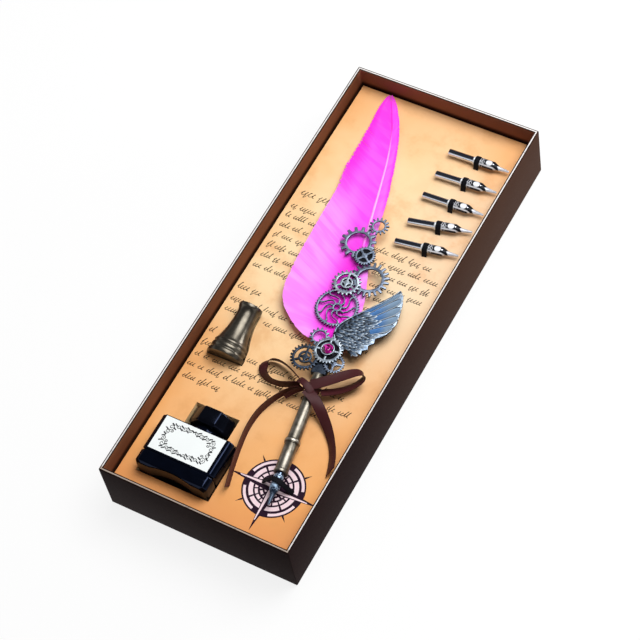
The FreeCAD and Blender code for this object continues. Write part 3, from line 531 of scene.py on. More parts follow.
def clear_runs(stroke):
    """The parts of a stroke that lie on the card, clear of both pockets."""
    runs = [[]]
    for spot in stroke:
        if over_pocket(*spot):
            runs.append([])
        else:
            runs[-1].append(spot)
    return [run for run in runs if len(run) > 2]


row_draw = random.Random(7)
row_strokes = []
for row_y, row_start, row_end, row_size in stroke_rows:
    for stroke in scribble(row_draw, row_start, row_end, row_y, row_size):
        row_strokes += clear_runs(stroke)
print_ink = mottled("print_ink", 400, 2, "#1d130c", "#3d2b1d", Roughness=0.6, Specular_IOR_Level=0.15)
row_print = flat_strokes(row_strokes, 0.36 * mm, card_top)
finished(row_print, "printed_rows", print_ink, "insert", "parchment")

rose_x = 27.6 * mm
rose_y = -110.4 * mm
rose_low = card_top + 0.02 * mm
rose_high = card_top + 0.05 * mm
rose_dark = mottled("rose_dark", 700, 3, "#1c0a1c", "#2e132b", Roughness=0.55, Specular_IOR_Level=0.1)
rose_pale = mottled("rose_pale", 500, 3, "#ecccd4", "#f8e2e8", Roughness=0.6)


def grid(columns, rows):
    """A flat sheet of faces, one metre each way, to be bent to shape."""
    bpy.ops.object.select_all(action="DESELECT")
    bpy.ops.mesh.primitive_grid_add(x_subdivisions=columns, y_subdivisions=rows, size=1)
    return bpy.context.active_object


def joined(pieces):
    """Joins pieces to the first of them."""
    pick(pieces[0])
    for piece in pieces:
        piece.select_set(True)
    bpy.ops.object.join()
    return pieces[0]


def rose_ring(outer, inner, parts=0, offset=0.0, gap=0.0):
    """A flat ring round the rose's middle: dark, or runs of pale faces with dark gaps between them."""
    sides = 144
    bpy.ops.object.select_all(action="DESELECT")
    middle = (rose_x, rose_y, rose_low)
    bpy.ops.mesh.primitive_circle_add(vertices=sides, radius=outer * mm, location=middle)
    piece = bpy.context.active_object
    bpy.ops.object.mode_set(mode="EDIT")
    bpy.ops.mesh.select_all(action="SELECT")
    bpy.ops.mesh.extrude_edges_move()
    shrink = inner / outer
    bpy.ops.transform.resize(value=(shrink, shrink, 1))
    bpy.ops.mesh.select_all(action="SELECT")
    bpy.ops.mesh.normals_make_consistent(inside=False)
    bpy.ops.object.mode_set(mode="OBJECT")
    coated(piece, rose_dark, rose_pale)
    for face in piece.data.polygons:
        turn = math.atan2(face.center.y, face.center.x) / (2 * math.pi)
        share = ((turn + offset) * parts) % 1
        face.material_index = 1 if parts and gap < share < 1 - gap else 0
    bpy.ops.object.transform_apply()
    if piece.data.polygons[0].normal.z < 0:
        piece.data.flip_normals()
    return piece


def rose_point(root, reach, half, turn, split):
    """One arm of the star from root to tip: dark, or with one half pale inside a dark edge."""
    piece = grid(4, 4)
    place = Matrix.Translation((rose_x, rose_y, rose_high)) @ Matrix.Rotation(math.radians(turn), 4, "Z")
    coated(piece, rose_dark, rose_pale)
    for face in piece.data.polygons:
        pale = split and 0 < face.center.x < 0.25 and face.center.y < 0.25
        face.material_index = 1 if pale else 0
    sides = {0: 0.0, 1: 0.72, 2: 1.0}
    for vertex in piece.data.vertices:
        side = math.copysign(sides[round(abs(vertex.co.x) * 4)], vertex.co.x)
        share = vertex.co.y + 0.5
        out = root + (reach - root) * share + half * abs(side) * (1 - share)
        vertex.co = place @ (Vector((side * half * (1 - 0.97 * share), out, 0)) * mm)
    return piece


rose_rings = (
    (17.2, 16.3), (16.3, 14.8, 4, 0.0, 0.2), (14.8, 13.4), (13.4, 11.0, 8, 0.0, 0.06), (11.0, 10.0),
    (10.0, 8.4, 16, 0.0, 0.12), (8.4, 7.3), (7.3, 5.9, 12, 0.0, 0.15), (5.9, 4.8), (4.8, 3.8, 4, 0.06, 0.2),
    (3.8, 0.2),
)
short_arm = (16.9, 21.2, 0.55)
long_arm = (0.2, 26.5, 2.7)
rose_parts = [rose_ring(*ring) for ring in rose_rings]
rose_parts += [rose_point(*short_arm, 45 + 90 * arm, False) for arm in range(4)]
rose_parts += [rose_point(*long_arm, 90 * arm, True) for arm in range(4)]
finished(joined(rose_parts), "compass_rose", None, "insert", "parchment")

# Elastic loops: bands of black woven elastic pushed through slits in the card and knotted under it,
# one over each spare nib and a longer one over the pen's nib.
elastic = mottled("elastic", 2600, 2, "#07080d", "#12141c", Roughness=0.7, Specular_IOR_Level=0.12)
band_x, band_y = elastic.place()[1:3]
cord_rib = (band_x * 9000).wave() * 0.5 + 0.5
pen_rib = (band_y * 9000).wave() * 0.5 + 0.5
fuzz = elastic.noise(2600, 2)
elastic.dress(Normal=(cord_rib * 0.5 + pen_rib * 0.3 + fuzz * 0.4).bump(0.12))


def elastic_loop(node, place, turn, radius, rise, half_span, joint):
    """A rounded band from one foot below the card, over a round piece, to the other foot."""
    half_thick = 0.45
    half_width = 1.05
    slit = -0.2
    foot_end = -3.6
    foot = half_span - half_thick
    bend = radius + half_thick
    distance = math.hypot(foot, rise)
    touch = math.acos(bend / distance) - math.atan2(rise, foot)
    steps = 12
    angles = [touch + (math.pi - 2 * touch) * step / steps for step in range(steps + 1)]
    arch = [(bend * math.cos(angle), rise + bend * math.sin(angle)) for angle in angles]
    route = [(foot, foot_end), (foot, slit)] + arch + [(-foot, slit), (-foot, foot_end)]
    line = bpy.data.curves.new(node, "CURVE")
    line.dimensions = "2D"
    line.fill_mode = "NONE"
    line.extrude = half_width * mm
    line.bevel_depth = half_thick * mm
    line.bevel_resolution = 3
    spline = line.splines.new("POLY")
    spline.points.add(len(route) - 1)
    for point, (x, y) in zip(spline.points, route):
        point.co = (x * mm, y * mm, 0, 1)
    piece = bpy.data.objects.new(node, line)
    scene.collection.objects.link(piece)
    stand_up = Matrix(((0, 0, 1, 0), (1, 0, 0, 0), (0, 1, 0, 0), (0, 0, 0, 1)))
    spin = Matrix.Rotation(math.radians(turn), 4, "Z")
    piece.matrix_world = Matrix.Translation((place[0] * mm, place[1] * mm, card_top)) @ spin @ stand_up
    piece = as_mesh(piece)
    bpy.ops.object.transform_apply()
    smoothed(piece, 60)
    finished(piece, node + "_band", elastic, "insert", "elastic", node)
    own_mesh(piece)


nib_turns = (1.7, 3.3, 2.1, 12.0, 8.7)
nib_places = [(32.0, 118.5 - 16 * row) for row in range(5)]
nib_arch = (2.25, 2.5, 4.1)
pen_arch = (3.5, 4.55, 9.4)
for number, (nib_place, nib_turn) in enumerate(zip(nib_places, nib_turns), start=1):
    elastic_loop(f"nib_loop_{number}", nib_place, nib_turn, *nib_arch, f"spare_nib_{number}_lift")
elastic_loop("pen_loop", (29.2, -108.7), 90, *pen_arch, "pen_lift")

# Nibs: each has a drawn steel shank, polished like a mirror, with a satin collar, and a stamped, curved
# steel blade with a breather hole, an etched dark ground, a painted highlight spot, a painted highlight
# streak along its lower edge and a plain point. The spare ones are bright steel, and the pen's own is blued.


def polished_steel(name, plain, satin_band):
    """A nib shank: a mirror with a satin collar near the blade."""
    steel = material(name)
    along = steel.strip()[1]
    smear = steel.noise(500, 3)
    collar = along.span(15.2, 15.4) * along.span(16.4, 16.2)
    steel.dress(
        Base_Color=collar.mix(plain, satin_band),
        Metallic=1 - collar * 0.5,
        Roughness=0.1 + smear * 0.08 + collar * 0.25,
        Normal=smear.bump(0.01),
    )
    return steel


dark_chrome = polished_steel("dark_chrome", "#d2d6e0", "#f2f4f8")
blued_chrome = polished_steel("blued_chrome", "#5f7088", "#8496aa")


def stamped_steel(name, pale, dark, point, scroll_end):
    """A nib blade: dark etching with pale scrolls, a painted highlight spot, a painted highlight streak
    along its lower edge and a plain point.
    """
    steel = material(name)
    where, along, across = steel.strip()
    # Painted highlight: a round pale spot, less metallic and rougher, where a glint shows on the curved
    # blade.
    glint_place = 25.0
    point_start = 29.6
    from_glint = ((along - glint_place) ** 2.0 + across ** 2.0) ** 0.5
    spot = from_glint.span(2.0, 1.75)
    point_share = (along - abs(across) * 0.9).span(point_start, point_start + 0.6)
    vein = steel.node("TexVoronoi", {"feature": "DISTANCE_TO_EDGE"}, {"Vector": where, "Scale": 0.8})
    scroll = vein.span(0.12, 0.06) * along.span(scroll_end, scroll_end - 0.6) * 0.8
    # Painted highlight: a pale streak along the blade's lower side, where a glint shows.
    painted_edge_streak = across.span(-2.5, -2.3) * across.span(-1.7, -1.9)
    etched = (1 - spot) * (1 - point_share) * (1 - scroll) * (1 - painted_edge_streak)
    polish = steel.noise(900, 2)
    plain = point_share.mix(pale, point)
    steel.dress(
        Base_Color=etched.mix(plain, dark),
        Metallic=0.5 - etched * 0.1 - spot * 0.3,
        Roughness=0.28 + polish * 0.1 + spot * 0.15,
        Normal=(1 - etched).bump(0.03),
    )
    return steel


nib_steel = stamped_steel("nib_steel", "#eef1f7", "#0b0f1c", "#dde2ee", 22.6)
blued_steel = stamped_steel("blued_steel", "#a5c0dc", "#203046", "#4b5b70", 29.0)


def measured(piece, home, across=True):
    """Maps a piece by its own frame: millimetres along it, and across it or round it."""
    inward = home.inverted()
    layer = piece.data.uv_layers.active or piece.data.uv_layers.new()
    for loop in piece.data.loops:
        spot = inward @ piece.data.vertices[loop.vertex_index].co
        sideways = spot.y / mm if across else math.atan2(spot.y, spot.z) * 4
        layer.data[loop.index].uv = (spot.x / mm, sideways)


def mapped(node, name, finish, body, slot, home, width=0, across=True):
    """The finished copy of a CAD node, with rounded edges and mapped by its own frame."""
    piece = softened(node, width)
    measured(piece, home, across)
    finished(piece, name, finish, body, slot, node)


nib_seat = 17.9 * mm
nib_height = 27.5 * mm
shank_edge = 0.08
for number, ((nib_x, nib_y), nib_turn) in enumerate(zip(nib_places, nib_turns), start=1):
    home = Matrix.Translation((nib_x * mm, nib_y * mm, nib_height))
    home = home @ Matrix.Rotation(math.radians(nib_turn), 4, "Z") @ Matrix.Translation((-nib_seat, 0, 0))
    body = f"spare_nib_{number}"
    shank = f"spare_shank_{number}"
    mapped(f"nib_shank_{number}", shank, dark_chrome, body, "dark_chrome", home, shank_edge)
    mapped(f"nib_blade_{number}", f"spare_blade_{number}", nib_steel, body, "nib_steel", home)

# Ink bottle: pressed black glass with cut corners, a stepped foot and a groove above it, lying on its
# back in its pocket. A paper label with a scroll border is glued on its front.


def glossy_black(name, scale, dark, pale, rough, smeared):
    """A black gloss with a cool shine, a little dulled by smears."""
    finish = material(name)
    smear = finish.noise(scale, 3)
    return finish.dress(
        Base_Color=smear.mix(dark, pale),
        Roughness=rough + smear * smeared,
        IOR=1.35,
        Specular_Tint="#a9bfff",
    )


black_glass = glossy_black("black_glass", 160, "#030408", "#070b16", rough=0.04, smeared=0.05)
bottle = softened("ink_bottle", 0.45, segments=3)
finished(bottle, "glass_bottle", black_glass, "bottle", "black_glass", "ink_bottle")
ink = mottled("ink", 80, 2, "#05050c", "#10101c", Roughness=0.05)
wears("ink", ink)

label_paper = mottled("label_paper", 60, 2, "#ecf1f0", "#f6fafa", Roughness=0.55)
label_paper.dress(Normal=label_paper.noise(1900, 3).bump(0.012))
wears("bottle_label", label_paper)
label_x = -23.0
label_y = -111.3
label_top = 36.15 * mm


def curl(x, y, radius, start, turns, hand):
    """A scroll that winds in to its middle."""
    steps = 14
    points = []
    for step in range(steps + 1):
        share = step / steps
        angle = math.radians(start) + hand * 2 * math.pi * turns * share
        reach = radius * (1 - 0.85 * share)
        points.append((x + reach * math.cos(angle), y + reach * math.sin(angle)))
    return points


scrolls = (
    (12.4, 5.2, 1.9, 60, 1.4), (8.8, 6.9, 1.3, 0, 1.3), (5.2, 7.0, 1.6, 20, 1.4), (13.4, 2.2, 1.4, 90, 1.3),
    (1.9, 7.3, 1.1, 0, 1.2), (10.9, 3.3, 0.9, 30, 1.2),
)
leaf_places = (
    (10.6, 7.4), (7.0, 7.7), (14.4, 3.8), (3.5, 8.1), (14.0, 0.7), (10.4, 5.0), (7.0, 5.9), (3.3, 6.2),
    (0.5, 7.6), (12.2, 7.0),
)
border_strokes = []
leaf_strokes = []
for side_x in (-1, 1):
    for side_y in (-1, 1):
        hand = side_x * side_y
        corner = 90 - 90 * side_x
        for x, y, radius, start, turns in scrolls:
            turn = side_y * (corner + start)
            middle = (label_x + side_x * x, label_y + side_y * y)
            border_strokes.append(curl(*middle, radius, turn, turns, -hand))
        for x, y in leaf_places:
            middle = Vector((label_x + side_x * x, label_y + side_y * y))
            lean = Vector((side_x * 0.9, side_y * 0.5))
            leaf_strokes.append([tuple(middle - lean), tuple(middle), tuple(middle + lean)])
border_ink = mottled("border_ink", 600, 2, "#15171a", "#3a3d41", Roughness=0.6)
border = flat_strokes(border_strokes, 0.36 * mm, label_top)
finished(border, "label_border", border_ink, "bottle", "label_paper")
leaves = flat_strokes(leaf_strokes, 0.75 * mm, label_top)
finished(leaves, "label_leaves", border_ink, "bottle", "label_paper")

# Cap: an octagonal screw cap moulded in glossy black plastic, screwed on the bottle's neck. A pale foam
# liner is pressed inside it.
cap_plastic = glossy_black("cap_plastic", 220, "#060609", "#0c0e15", rough=0.1, smeared=0.08)
cap = softened("bottle_cap", 0.4, segments=3, angle=20, smooth=30)
finished(cap, "octagon_cap", cap_plastic, "cap", "cap_plastic", "bottle_cap")
liner = mottled("liner", 700, 2, "#d9d6cd", "#eceae3", Roughness=0.8)
liner.dress(Normal=liner.noise(1500, 2).bump(0.05))
wears("cap_liner", liner)

# Pen stand: one piece of brass turned with a ringed foot, a hollow waist and a flared lip, then
# darkened and rubbed back unevenly, so that paler patches cloud its surface.
stand_brass = material("stand_brass")
stand_where = stand_brass.place()[0]
stand_turn_marks = stand_brass.noise(1.0, 2, stand_where.stretched((200, 3000, 200)))
stand_patina = stand_brass.noise(130, 5, rough=0.65)
stand_brass.dress(
    Base_Color=stand_patina.span(0.3, 0.7).mix("#4d4840", "#6e685d"),
    Metallic=0.85,
    Roughness=0.24 + stand_patina * 0.1,
    Normal=stand_turn_marks.bump(0.006),
)
stand = softened("pen_stand", 0.25, angle=25, smooth=35)
finished(stand, "turned_stand", stand_brass, "stand", "stand_brass", "pen_stand")

# Pen: a grip and a barrel drawn from brass tube, with turned rings pressed over the mouth and the joint,
# all in antique bronze. A dark cast plate is pressed into the barrel's end.
antique_bronze = material("antique_bronze")
tube_where, tube_u = antique_bronze.strip()[:2]
tube_patina = antique_bronze.noise(170, 5, rough=0.65)
tube_draw = antique_bronze.noise(1.0, 3, tube_where.stretched((0.05, 6, 1)))
ring_place = 19
from_ring = abs(tube_u - ring_place)
# Darker in a band beside the ring.
ring_side_dark = from_ring.span(1.9, 1.4) * from_ring.span(0.6, 1.2)
bronze = tube_patina.span(0.35, 0.65).mix("#5f5b52", "#9b958b")
bronze = (ring_side_dark * 0.5).mix(bronze, "#2b251b")
# Painted highlight: the ring itself is painted pale.
bronze = (from_ring.span(0.8, 0.4) * 0.6).mix(bronze, "#d9d2c4")
antique_bronze.dress(
    Base_Color=(tube_draw * 0.4).mix(bronze, "#857d6c"),
    Metallic=0.85,
    Roughness=0.3 + tube_patina * 0.12,
    Normal=tube_draw.bump(0.004),
)
pen_axis = 29.55
mouth = Vector((28.2, -103.0, pen_axis)) * mm
pen_turn = 9.9
pen_home = Matrix.Translation(mouth) @ Matrix.Rotation(math.radians(90 + pen_turn), 4, "Z")
tube_edges = {"pen_grip": 0.15, "pen_barrel": 0.15, "pen_mid_ring": 0.22, "pen_mouth_ring": 0.2}
for name, width in tube_edges.items():
    mapped(name, name + "_tube", antique_bronze, "pen", "antique_bronze", pen_home, width, across=False)

nib_base = pen_home @ Matrix.Rotation(math.pi, 4, "Z") @ Matrix.Translation((-nib_seat, 0, 0))
mapped("pen_nib_shank", "pen_shank", blued_chrome, "pen_nib", "dark_chrome", nib_base, shank_edge)
mapped("pen_nib_blade", "pen_blade", blued_steel, "pen_nib", "nib_steel", nib_base)

# Feather: a goose quill dyed hot pink. Its shaft tapers from the socket to the tip, and the barbs leave
# it at a slant, a broad vane on the left and a narrow one on the right, parting here and there.
feather_length = 174.3
feather_bend = math.radians(13.5)
feather_radius = feather_length / feather_bend
feather_drop = 3.05
socket_end = 77.0


def beside_shaft(place, offset, lift):
    """A point in the box: a share of the shaft along it, millimetres to its left and over it."""
    angle = feather_bend * place
    reach = feather_radius - offset
    x = socket_end + reach * math.sin(angle)
    y = feather_radius - reach * math.cos(angle)
    return pen_home @ (Vector((x, y, lift - feather_drop * place)) * mm)


shift_places = (0.0, 0.3, 0.45, 0.52, 0.64, 0.72, 0.8, 0.876, 0.948, 1.0)
shift_shares = (0.0, 0.0, -0.003, -0.005, -0.011, -0.0165, -0.0192, -0.0175, -0.0085, 0.0)


def shaft_shift(place):
    """How far the shaft lies to the left of an even bend, in millimetres."""
    return float(np.interp(place, shift_places, shift_shares)) * feather_length


quill = material("quill")
quill_along = quill.strip()[1]
bare_part = quill_along.span(140, 160) * quill_along.span(232, 205)
quill_pale = quill.noise(300, 3).mix("#ffb9f6", "#ff9af4")
quill.dress(
    Base_Color=bare_part.mix("#ff1ce6", quill_pale),
    Roughness=0.4,
    Normal=quill.noise(900, 2).bump(0.02),
)
shaft_radius = 1.5 * mm
shaft_spots = (
    (-0.066, 1.0), (0.0, 1.0), (0.08, 0.78), (0.19, 0.7), (0.3, 0.62), (0.45, 0.52), (0.52, 0.47),
    (0.6, 0.42), (0.66, 0.38), (0.72, 0.35), (0.78, 0.31), (0.85, 0.27), (0.92, 0.2), (0.985, 0.13),
)
shaft_run = [(beside_shaft(place, shaft_shift(place), 0), radius) for place, radius in shaft_spots]
shaft = as_mesh(nurbs_lines("shaft", [shaft_run], resolution=5, bevel=shaft_radius, facets=3))
smoothed(shaft, 50)
measured(shaft, pen_home)
finished(shaft, "quill_shaft", quill, "pen", "quill", "feather_shaft")

left_outline = (
    (0.018, 0.016), (0.034, 0.088), (0.056, 0.122), (0.084, 0.151), (0.120, 0.181), (0.145, 0.193),
    (0.170, 0.200), (0.220, 0.203), (0.303, 0.195), (0.447, 0.168), (0.611, 0.128), (0.718, 0.113),
    (0.810, 0.081), (0.945, 0.040), (0.985, 0.022), (1.002, 0.010), (1.012, 0.0),
)
right_outline = (
    (0.018, 0.012), (0.060, 0.036), (0.120, 0.062), (0.198, 0.058), (0.326, 0.036), (0.453, 0.033),
    (0.525, 0.038), (0.618, 0.043), (0.739, 0.045), (0.833, 0.044), (0.902, 0.037), (0.969, 0.022),
    (0.994, 0.012), (1.012, 0.0),
)
barb_slants = ((0.0, 98), (0.06, 82), (0.15, 64), (0.3, 54), (0.6, 46), (0.9, 36), (1.0, 26))


def barb_vane(outline, side, count, seed):
    """One side of the feather: a strip for each barb, from the shaft to the outline, in loose groups."""
    draw = random.Random(seed)
    columns = 8
    last_row = 2 * count - 1
    piece = grid(columns, last_row)
    select_faces(piece, lambda face: round((face.center.y + 0.5) * last_row - 0.5) % 2 == 1)
    bpy.ops.mesh.delete(type="FACE")
    bpy.ops.object.mode_set(mode="OBJECT")
    places, widths = np.array(outline).T
    slant_places, slants = np.array(barb_slants).T
    widest = 0.24
    reaches = np.linspace(0, widest, 241)
    groups = []
    while len(groups) < count:
        size = draw.randint(7, 22)
        pull = draw.choice((0.0, 0.0, 0.01) if len(groups) < 0.5 * count else (0.0, 0.01, 0.03))
        middle = len(groups) + size / 2
        groups += [(middle, pull)] * size
    ends = [1 - draw.uniform(0, 0.012 if barb < 0.5 * count else 0.05) for barb in range(count)]
    first, last = 0.016, 1.004
    barb_ends = []
    for edge in range(count + 1):
        start = first + (last - first) * edge / count
        slant = math.radians(np.interp(start, slant_places, slants))
        spots = start + reaches / math.tan(slant) * (1 + reaches)
        inside = np.interp(spots, places, widths, right=0) > reaches
        crossing = int(np.argmin(inside)) if not inside.all() else len(reaches) - 1
        barb_ends.append((start, slant, reaches[crossing]))
    for vertex in piece.data.vertices:
        column = round((vertex.co.x + 0.5) * columns)
        row = round((vertex.co.y + 0.5) * last_row)
        barb, upper = divmod(row, 2)
        start, slant, reach = barb_ends[barb + upper]
        share = column / columns
        out = reach * share * (1 - (1 - ends[barb]) * share)
        place = start + out / math.tan(slant) * (1 + out)
        middle, pull = groups[barb]
        middle_start = first + (last - first) * middle / count
        place += (middle_start - start) * pull * max(0, share - 0.35) ** 1.5 * 2
        twist = (upper - 0.5) * 0.08
        cupping = 2.4 * (out / 0.2) ** 2
        ripple = 0.3 * share * math.sin(place * 40)
        offset = side * (out * feather_length + 0.15) + shaft_shift(start) * (1 - share)
        vertex.co = beside_shaft(min(place, 1.014), offset, twist + cupping + ripple)
    if side < 0:
        piece.data.flip_normals()
    modified(piece, "SOLIDIFY", thickness=0.12 * mm, offset=0)
    smoothed(piece, 30)
    return piece


feather = material("feather")
vane_map, vane_out, vane_along = feather.strip()
barb_line = feather.noise(1.0, 3, vane_map.stretched((1.6, 420, 1)))
barb_band = feather.noise(1.0, 2, vane_map.stretched((0.9, 34, 1)))
lower_root = vane_out.span(0.5, 0.05) * vane_along.span(0.5, 0.25)
upper_edge = vane_out.span(0.5, 0.95) * vane_along.span(0.4, 0.6)
tip_part = vane_along.span(0.66, 0.9)
bulge = vane_out.span(0.15, 0.7) * vane_along.span(0.66, 0.35)
streak = barb_band.span(0.4, 0.6)
pink = (bulge * (0.5 + streak * 0.35)).mix("#ff50f6", "#ffa6ff")
pink = (streak * (1 - bulge) * 0.3).mix(pink, "#ff80fc")
pink = (lower_root * 0.9).mix(pink, "#fb00de")
pink = (upper_edge * 0.75).most(tip_part * 0.4).mix(pink, "#ff00e0")
pink = (barb_line.span(0.52, 0.72) * 0.2).mix(pink, "#f000e0")
feather.dress(
    Base_Color=pink,
    Roughness=0.6,
    Specular_IOR_Level=0.3,
    Sheen_Weight=0.2,
    Sheen_Roughness=0.4,
    Normal=barb_line.bump(0.05),
)
barb_count = 320
left_vane = barb_vane(left_outline, 1, barb_count, seed=3)
right_vane = barb_vane(right_outline, -1, barb_count, seed=5)
finished(joined([left_vane, right_vane]), "feather_barbs", feather, "pen", "feather", "feather_vane")

# Charms: ten gears cast in zinc, plated gunmetal or silver, blackened in the hollows and rubbed bright on
# top, glued one over another along the feather. The end plate carries the lowest of them.


def cast_metal(name, dark, mid, bright, rough=0.38):
    """Blackened cast plating, darker on the flanks and paler on top faces by how they face, partly the
    blackening and partly painted shade and light, with pits, rubbed patches on top and fine scratches.
    """
    metal = material(name)
    where = metal.place()[0]
    up_way = metal.node("NewGeometry", None, None, "Normal").parts("Z")[0]
    pits = metal.noise(900, 4, where, 0.6)
    cloud = metal.noise(240, 4, where, 0.6)
    scratch = metal.noise(1.0, 2, where.stretched((700, 5200, 700)))
    # Painted shade and light: the colour follows how far a face turns up, dark on the flanks and paler on
    # top, besides the blackening.
    facing_shade = up_way.span(0.2, 0.85).mix(dark, mid)
    rubbed = (cloud * 0.6 + scratch * 0.4).span(0.38, 0.62) * up_way.span(0.45, 0.9)
    metal.dress(
        Base_Color=rubbed.mix(facing_shade, bright),
        Metallic=0.85,
        Roughness=rough + pits * 0.18,
        Normal=(pits * 0.7 + scratch * 0.3).bump(0.04),
    )
    return metal


gunmetal = cast_metal("gunmetal", "#1a1d24", "#68758c", "#98a5b8")
dark_gunmetal = cast_metal("dark_gunmetal", "#0c0e13", "#262d38", "#4c586a")
worn_silver = cast_metal("worn_silver", "#22252c", "#84919f", "#bcc7d1")
end_plate = softened("pen_end_plate", 0.3)
finished(end_plate, "end_plate", dark_gunmetal, "pen", "gunmetal", "pen_end_plate")
gear_edges = {
    "gear_top_ring": 0.22, "gear_spiked_ring": 0.25, "gear_crossed": 0.16, "gear_coarse_ring": 0.25,
    "gear_spiral": 0.16, "gear_small_ring": 0.2, "gear_left": 0.16, "gear_right": 0.14,
}
blackening = cast_metal("blackening", "#0b0b0e", "#121218", "#1c1d25", rough=0.5)


def charm(node, width, metal, slot):
    """A charm with rounded edges, the floors of its recesses blackened."""
    piece = softened(node, width, whole=node != "gear_spiral")
    coated(piece, metal, blackening)
    finished(piece, node + "_charm", None, "pen", slot, node)
    low, high = [corner[2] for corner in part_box(node)]
    recess = low * 0.45 + high * 0.55
    for face in piece.data.polygons:
        deep = face.normal.z > 0.7 and face.center.z < recess
        face.material_index = 1 if deep else 0


for name, width in gear_edges.items():
    charm(name, width, dark_gunmetal if name == "gear_left" else gunmetal, "gunmetal")
for name, width in {"gear_double_ring": 0.16, "gear_jewel": 0.18, "jewel_bezel": 0.2}.items():
    charm(name, width, worn_silver, "worn_silver")

# Stone: a magenta glass stone, cut in flat facets, with painted glints and shade: cells over it are painted
# from near black to bright pink. It is pressed into its bezel on the largest silver gear.
jewel_glass = material("jewel_glass")
facet = jewel_glass.node("TexVoronoi", None, {"Vector": jewel_glass.place()[0], "Scale": 620}, "Color")
# Painted glints and shade: cells from near black to bright pink stand for light caught in the facets.
painted_glint_share = facet.parts("X")[0]
jewel_glint_colours = ((0.0, "#150110"), (0.4, "#56053f"), (0.75, "#b31286"), (1.0, "#ff4ecb"))
jewel_glass.dress(
    Base_Color=painted_glint_share.ramp(*jewel_glint_colours),
    Roughness=0.04,
    IOR=1.7,
    Coat_Weight=0.3,
)
stone = softened("jewel", 0.08, angle=15, smooth=12)
finished(stone, "faceted_stone", jewel_glass, "pen", "jewel", "jewel")

# Wing: a cast charm in blued silver. Five long primaries lie along its tip, rows of small pointed coverts
# cover its root, and a raised rim runs along its leading edge and curls round at the root.
wing_silver = cast_metal("wing_silver", "#141b26", "#5a6f87", "#aebccb", rough=0.36)
wing_blue = material("wing_blue")
primary_map, primary_across, primary_along = wing_blue.strip()
brushed = wing_blue.noise(1.0, 3, primary_map.stretched((40, 2, 1)))
primary_root = primary_along.span(0.75, 0.35)
primary_edge = primary_across.span(0.88, 0.96).most(primary_along.span(0.93, 0.99))
primary_line = primary_across.span(0.13, 0.07)
blue = primary_root.mix("#7890a8", "#2f68a6")
blue = (brushed * 0.4).mix(blue, "#54728f")
blue = primary_edge.mix(blue, "#cfd9e2")
wing_blue.dress(
    Base_Color=primary_line.mix(blue, "#18222f"),
    Metallic=0.4,
    Roughness=0.32 + brushed * 0.12,
    Normal=brushed.bump(0.02),
)
covert_steel = material("covert_steel")
covert_across, covert_along = covert_steel.strip()[1:]
covert_rib = abs(covert_across - 0.5) * 2
covert_edge = covert_rib.span(0.45, 0.8) * covert_along.span(0.2, 0.6)
covert_tip = covert_along.span(0.7, 0.95)
covert_blue = covert_along.span(0.05, 0.6).mix("#10161f", "#4b6078")
covert_steel.dress(
    Base_Color=covert_edge.most(covert_tip).mix(covert_blue, "#b4c1ce"),
    Metallic=0.45,
    Roughness=0.34 + covert_steel.noise(900, 2) * 0.1,
)
wing_length = 44.9
charm_unit = 12.3
wing_place = Vector((socket_end + 0.569 * charm_unit, -0.244 * charm_unit, 0))
wing_turn = Matrix.Rotation(math.radians(-33.5), 4, "Z")
wing_home = pen_home @ Matrix.Translation(wing_place * mm) @ wing_turn
wing_plate = 32.9
wing_top = wing_plate - pen_axis


def on_wing(x, y, lift):
    """A point of the wing: shares of its length along and across, millimetres over its plate."""
    return wing_home @ (Vector((x * wing_length, y * wing_length, wing_top + lift)) * mm)


def leaf(corners, finish, lift, crown, columns, rows):
    """A cast feather between two sides, each from root to tip, rounded to a point and shingled."""
    (root_a, tip_a), (root_b, tip_b) = corners
    point_start = 0.72
    piece = grid(columns, rows)
    for vertex in piece.data.vertices:
        across = vertex.co.x + 0.5
        along = vertex.co.y + 0.5
        rounding = 1 - max(0, (along - point_start) / (1 - point_start)) ** 2
        across = 0.5 + (across - 0.5) * max(0.06, rounding ** 0.6)
        side_a = Vector(root_a).lerp(Vector(tip_a), along)
        side_b = Vector(root_b).lerp(Vector(tip_b), along)
        spot = side_a.lerp(side_b, across)
        edge = abs(across - 0.5) * 2
        height = lift + crown * (edge ** 3) + 0.35 * (1 - across) * crown - 0.15 * along
        vertex.co = on_wing(spot.x, spot.y, height)
    modified(piece, "SOLIDIFY", thickness=0.45 * mm, offset=0)
    smoothed(piece, 45)
    return coated(piece, finish)


primary_tips = (
    (1.0, -0.005), (0.972, -0.080), (0.898, -0.163), (0.786, -0.254), (0.672, -0.328), (0.520, -0.362),
)
primary_roots = ((0.28, 0.092), (0.36, 0.03), (0.38, -0.04), (0.38, -0.11), (0.36, -0.18), (0.33, -0.25))
primaries = list(zip(primary_roots, primary_tips))
wing_parts = []
for number in range(5):
    pair = primaries[number:number + 2]
    wing_parts.append(leaf(pair, wing_blue, lift=0.3 + 0.08 * number, crown=0.12, columns=8, rows=14))
covert_draw = random.Random(11)
covert_half = 0.0185
covert_run = 0.45
lowest_row = -0.255
row_step = 0.044
for row in range(8):
    reach = lowest_row + row_step * row
    count = 11 if row < 6 else 9
    for number in range(count):
        share = (number + 0.5 * (row % 2)) / count
        x = covert_run * share + covert_draw.uniform(-0.008, 0.008)
        y = reach + 0.02 * math.sin(share * math.pi) + covert_draw.uniform(-0.012, 0.012)
        way = Vector((0.03 + 0.08 * share, -0.1 + 0.04 * share)) * covert_draw.uniform(0.85, 1.2)
        half = Vector((-way.y, way.x)).normalized() * covert_half
        root = Vector((x, y))
        sides = [(root + half, root + half + way), (root - half, root - half + way)]
        lift = 0.55 + 0.1 * row + covert_draw.uniform(-0.08, 0.08)
        wing_parts.append(leaf(sides, covert_steel, lift, crown=-0.3, columns=4, rows=6))

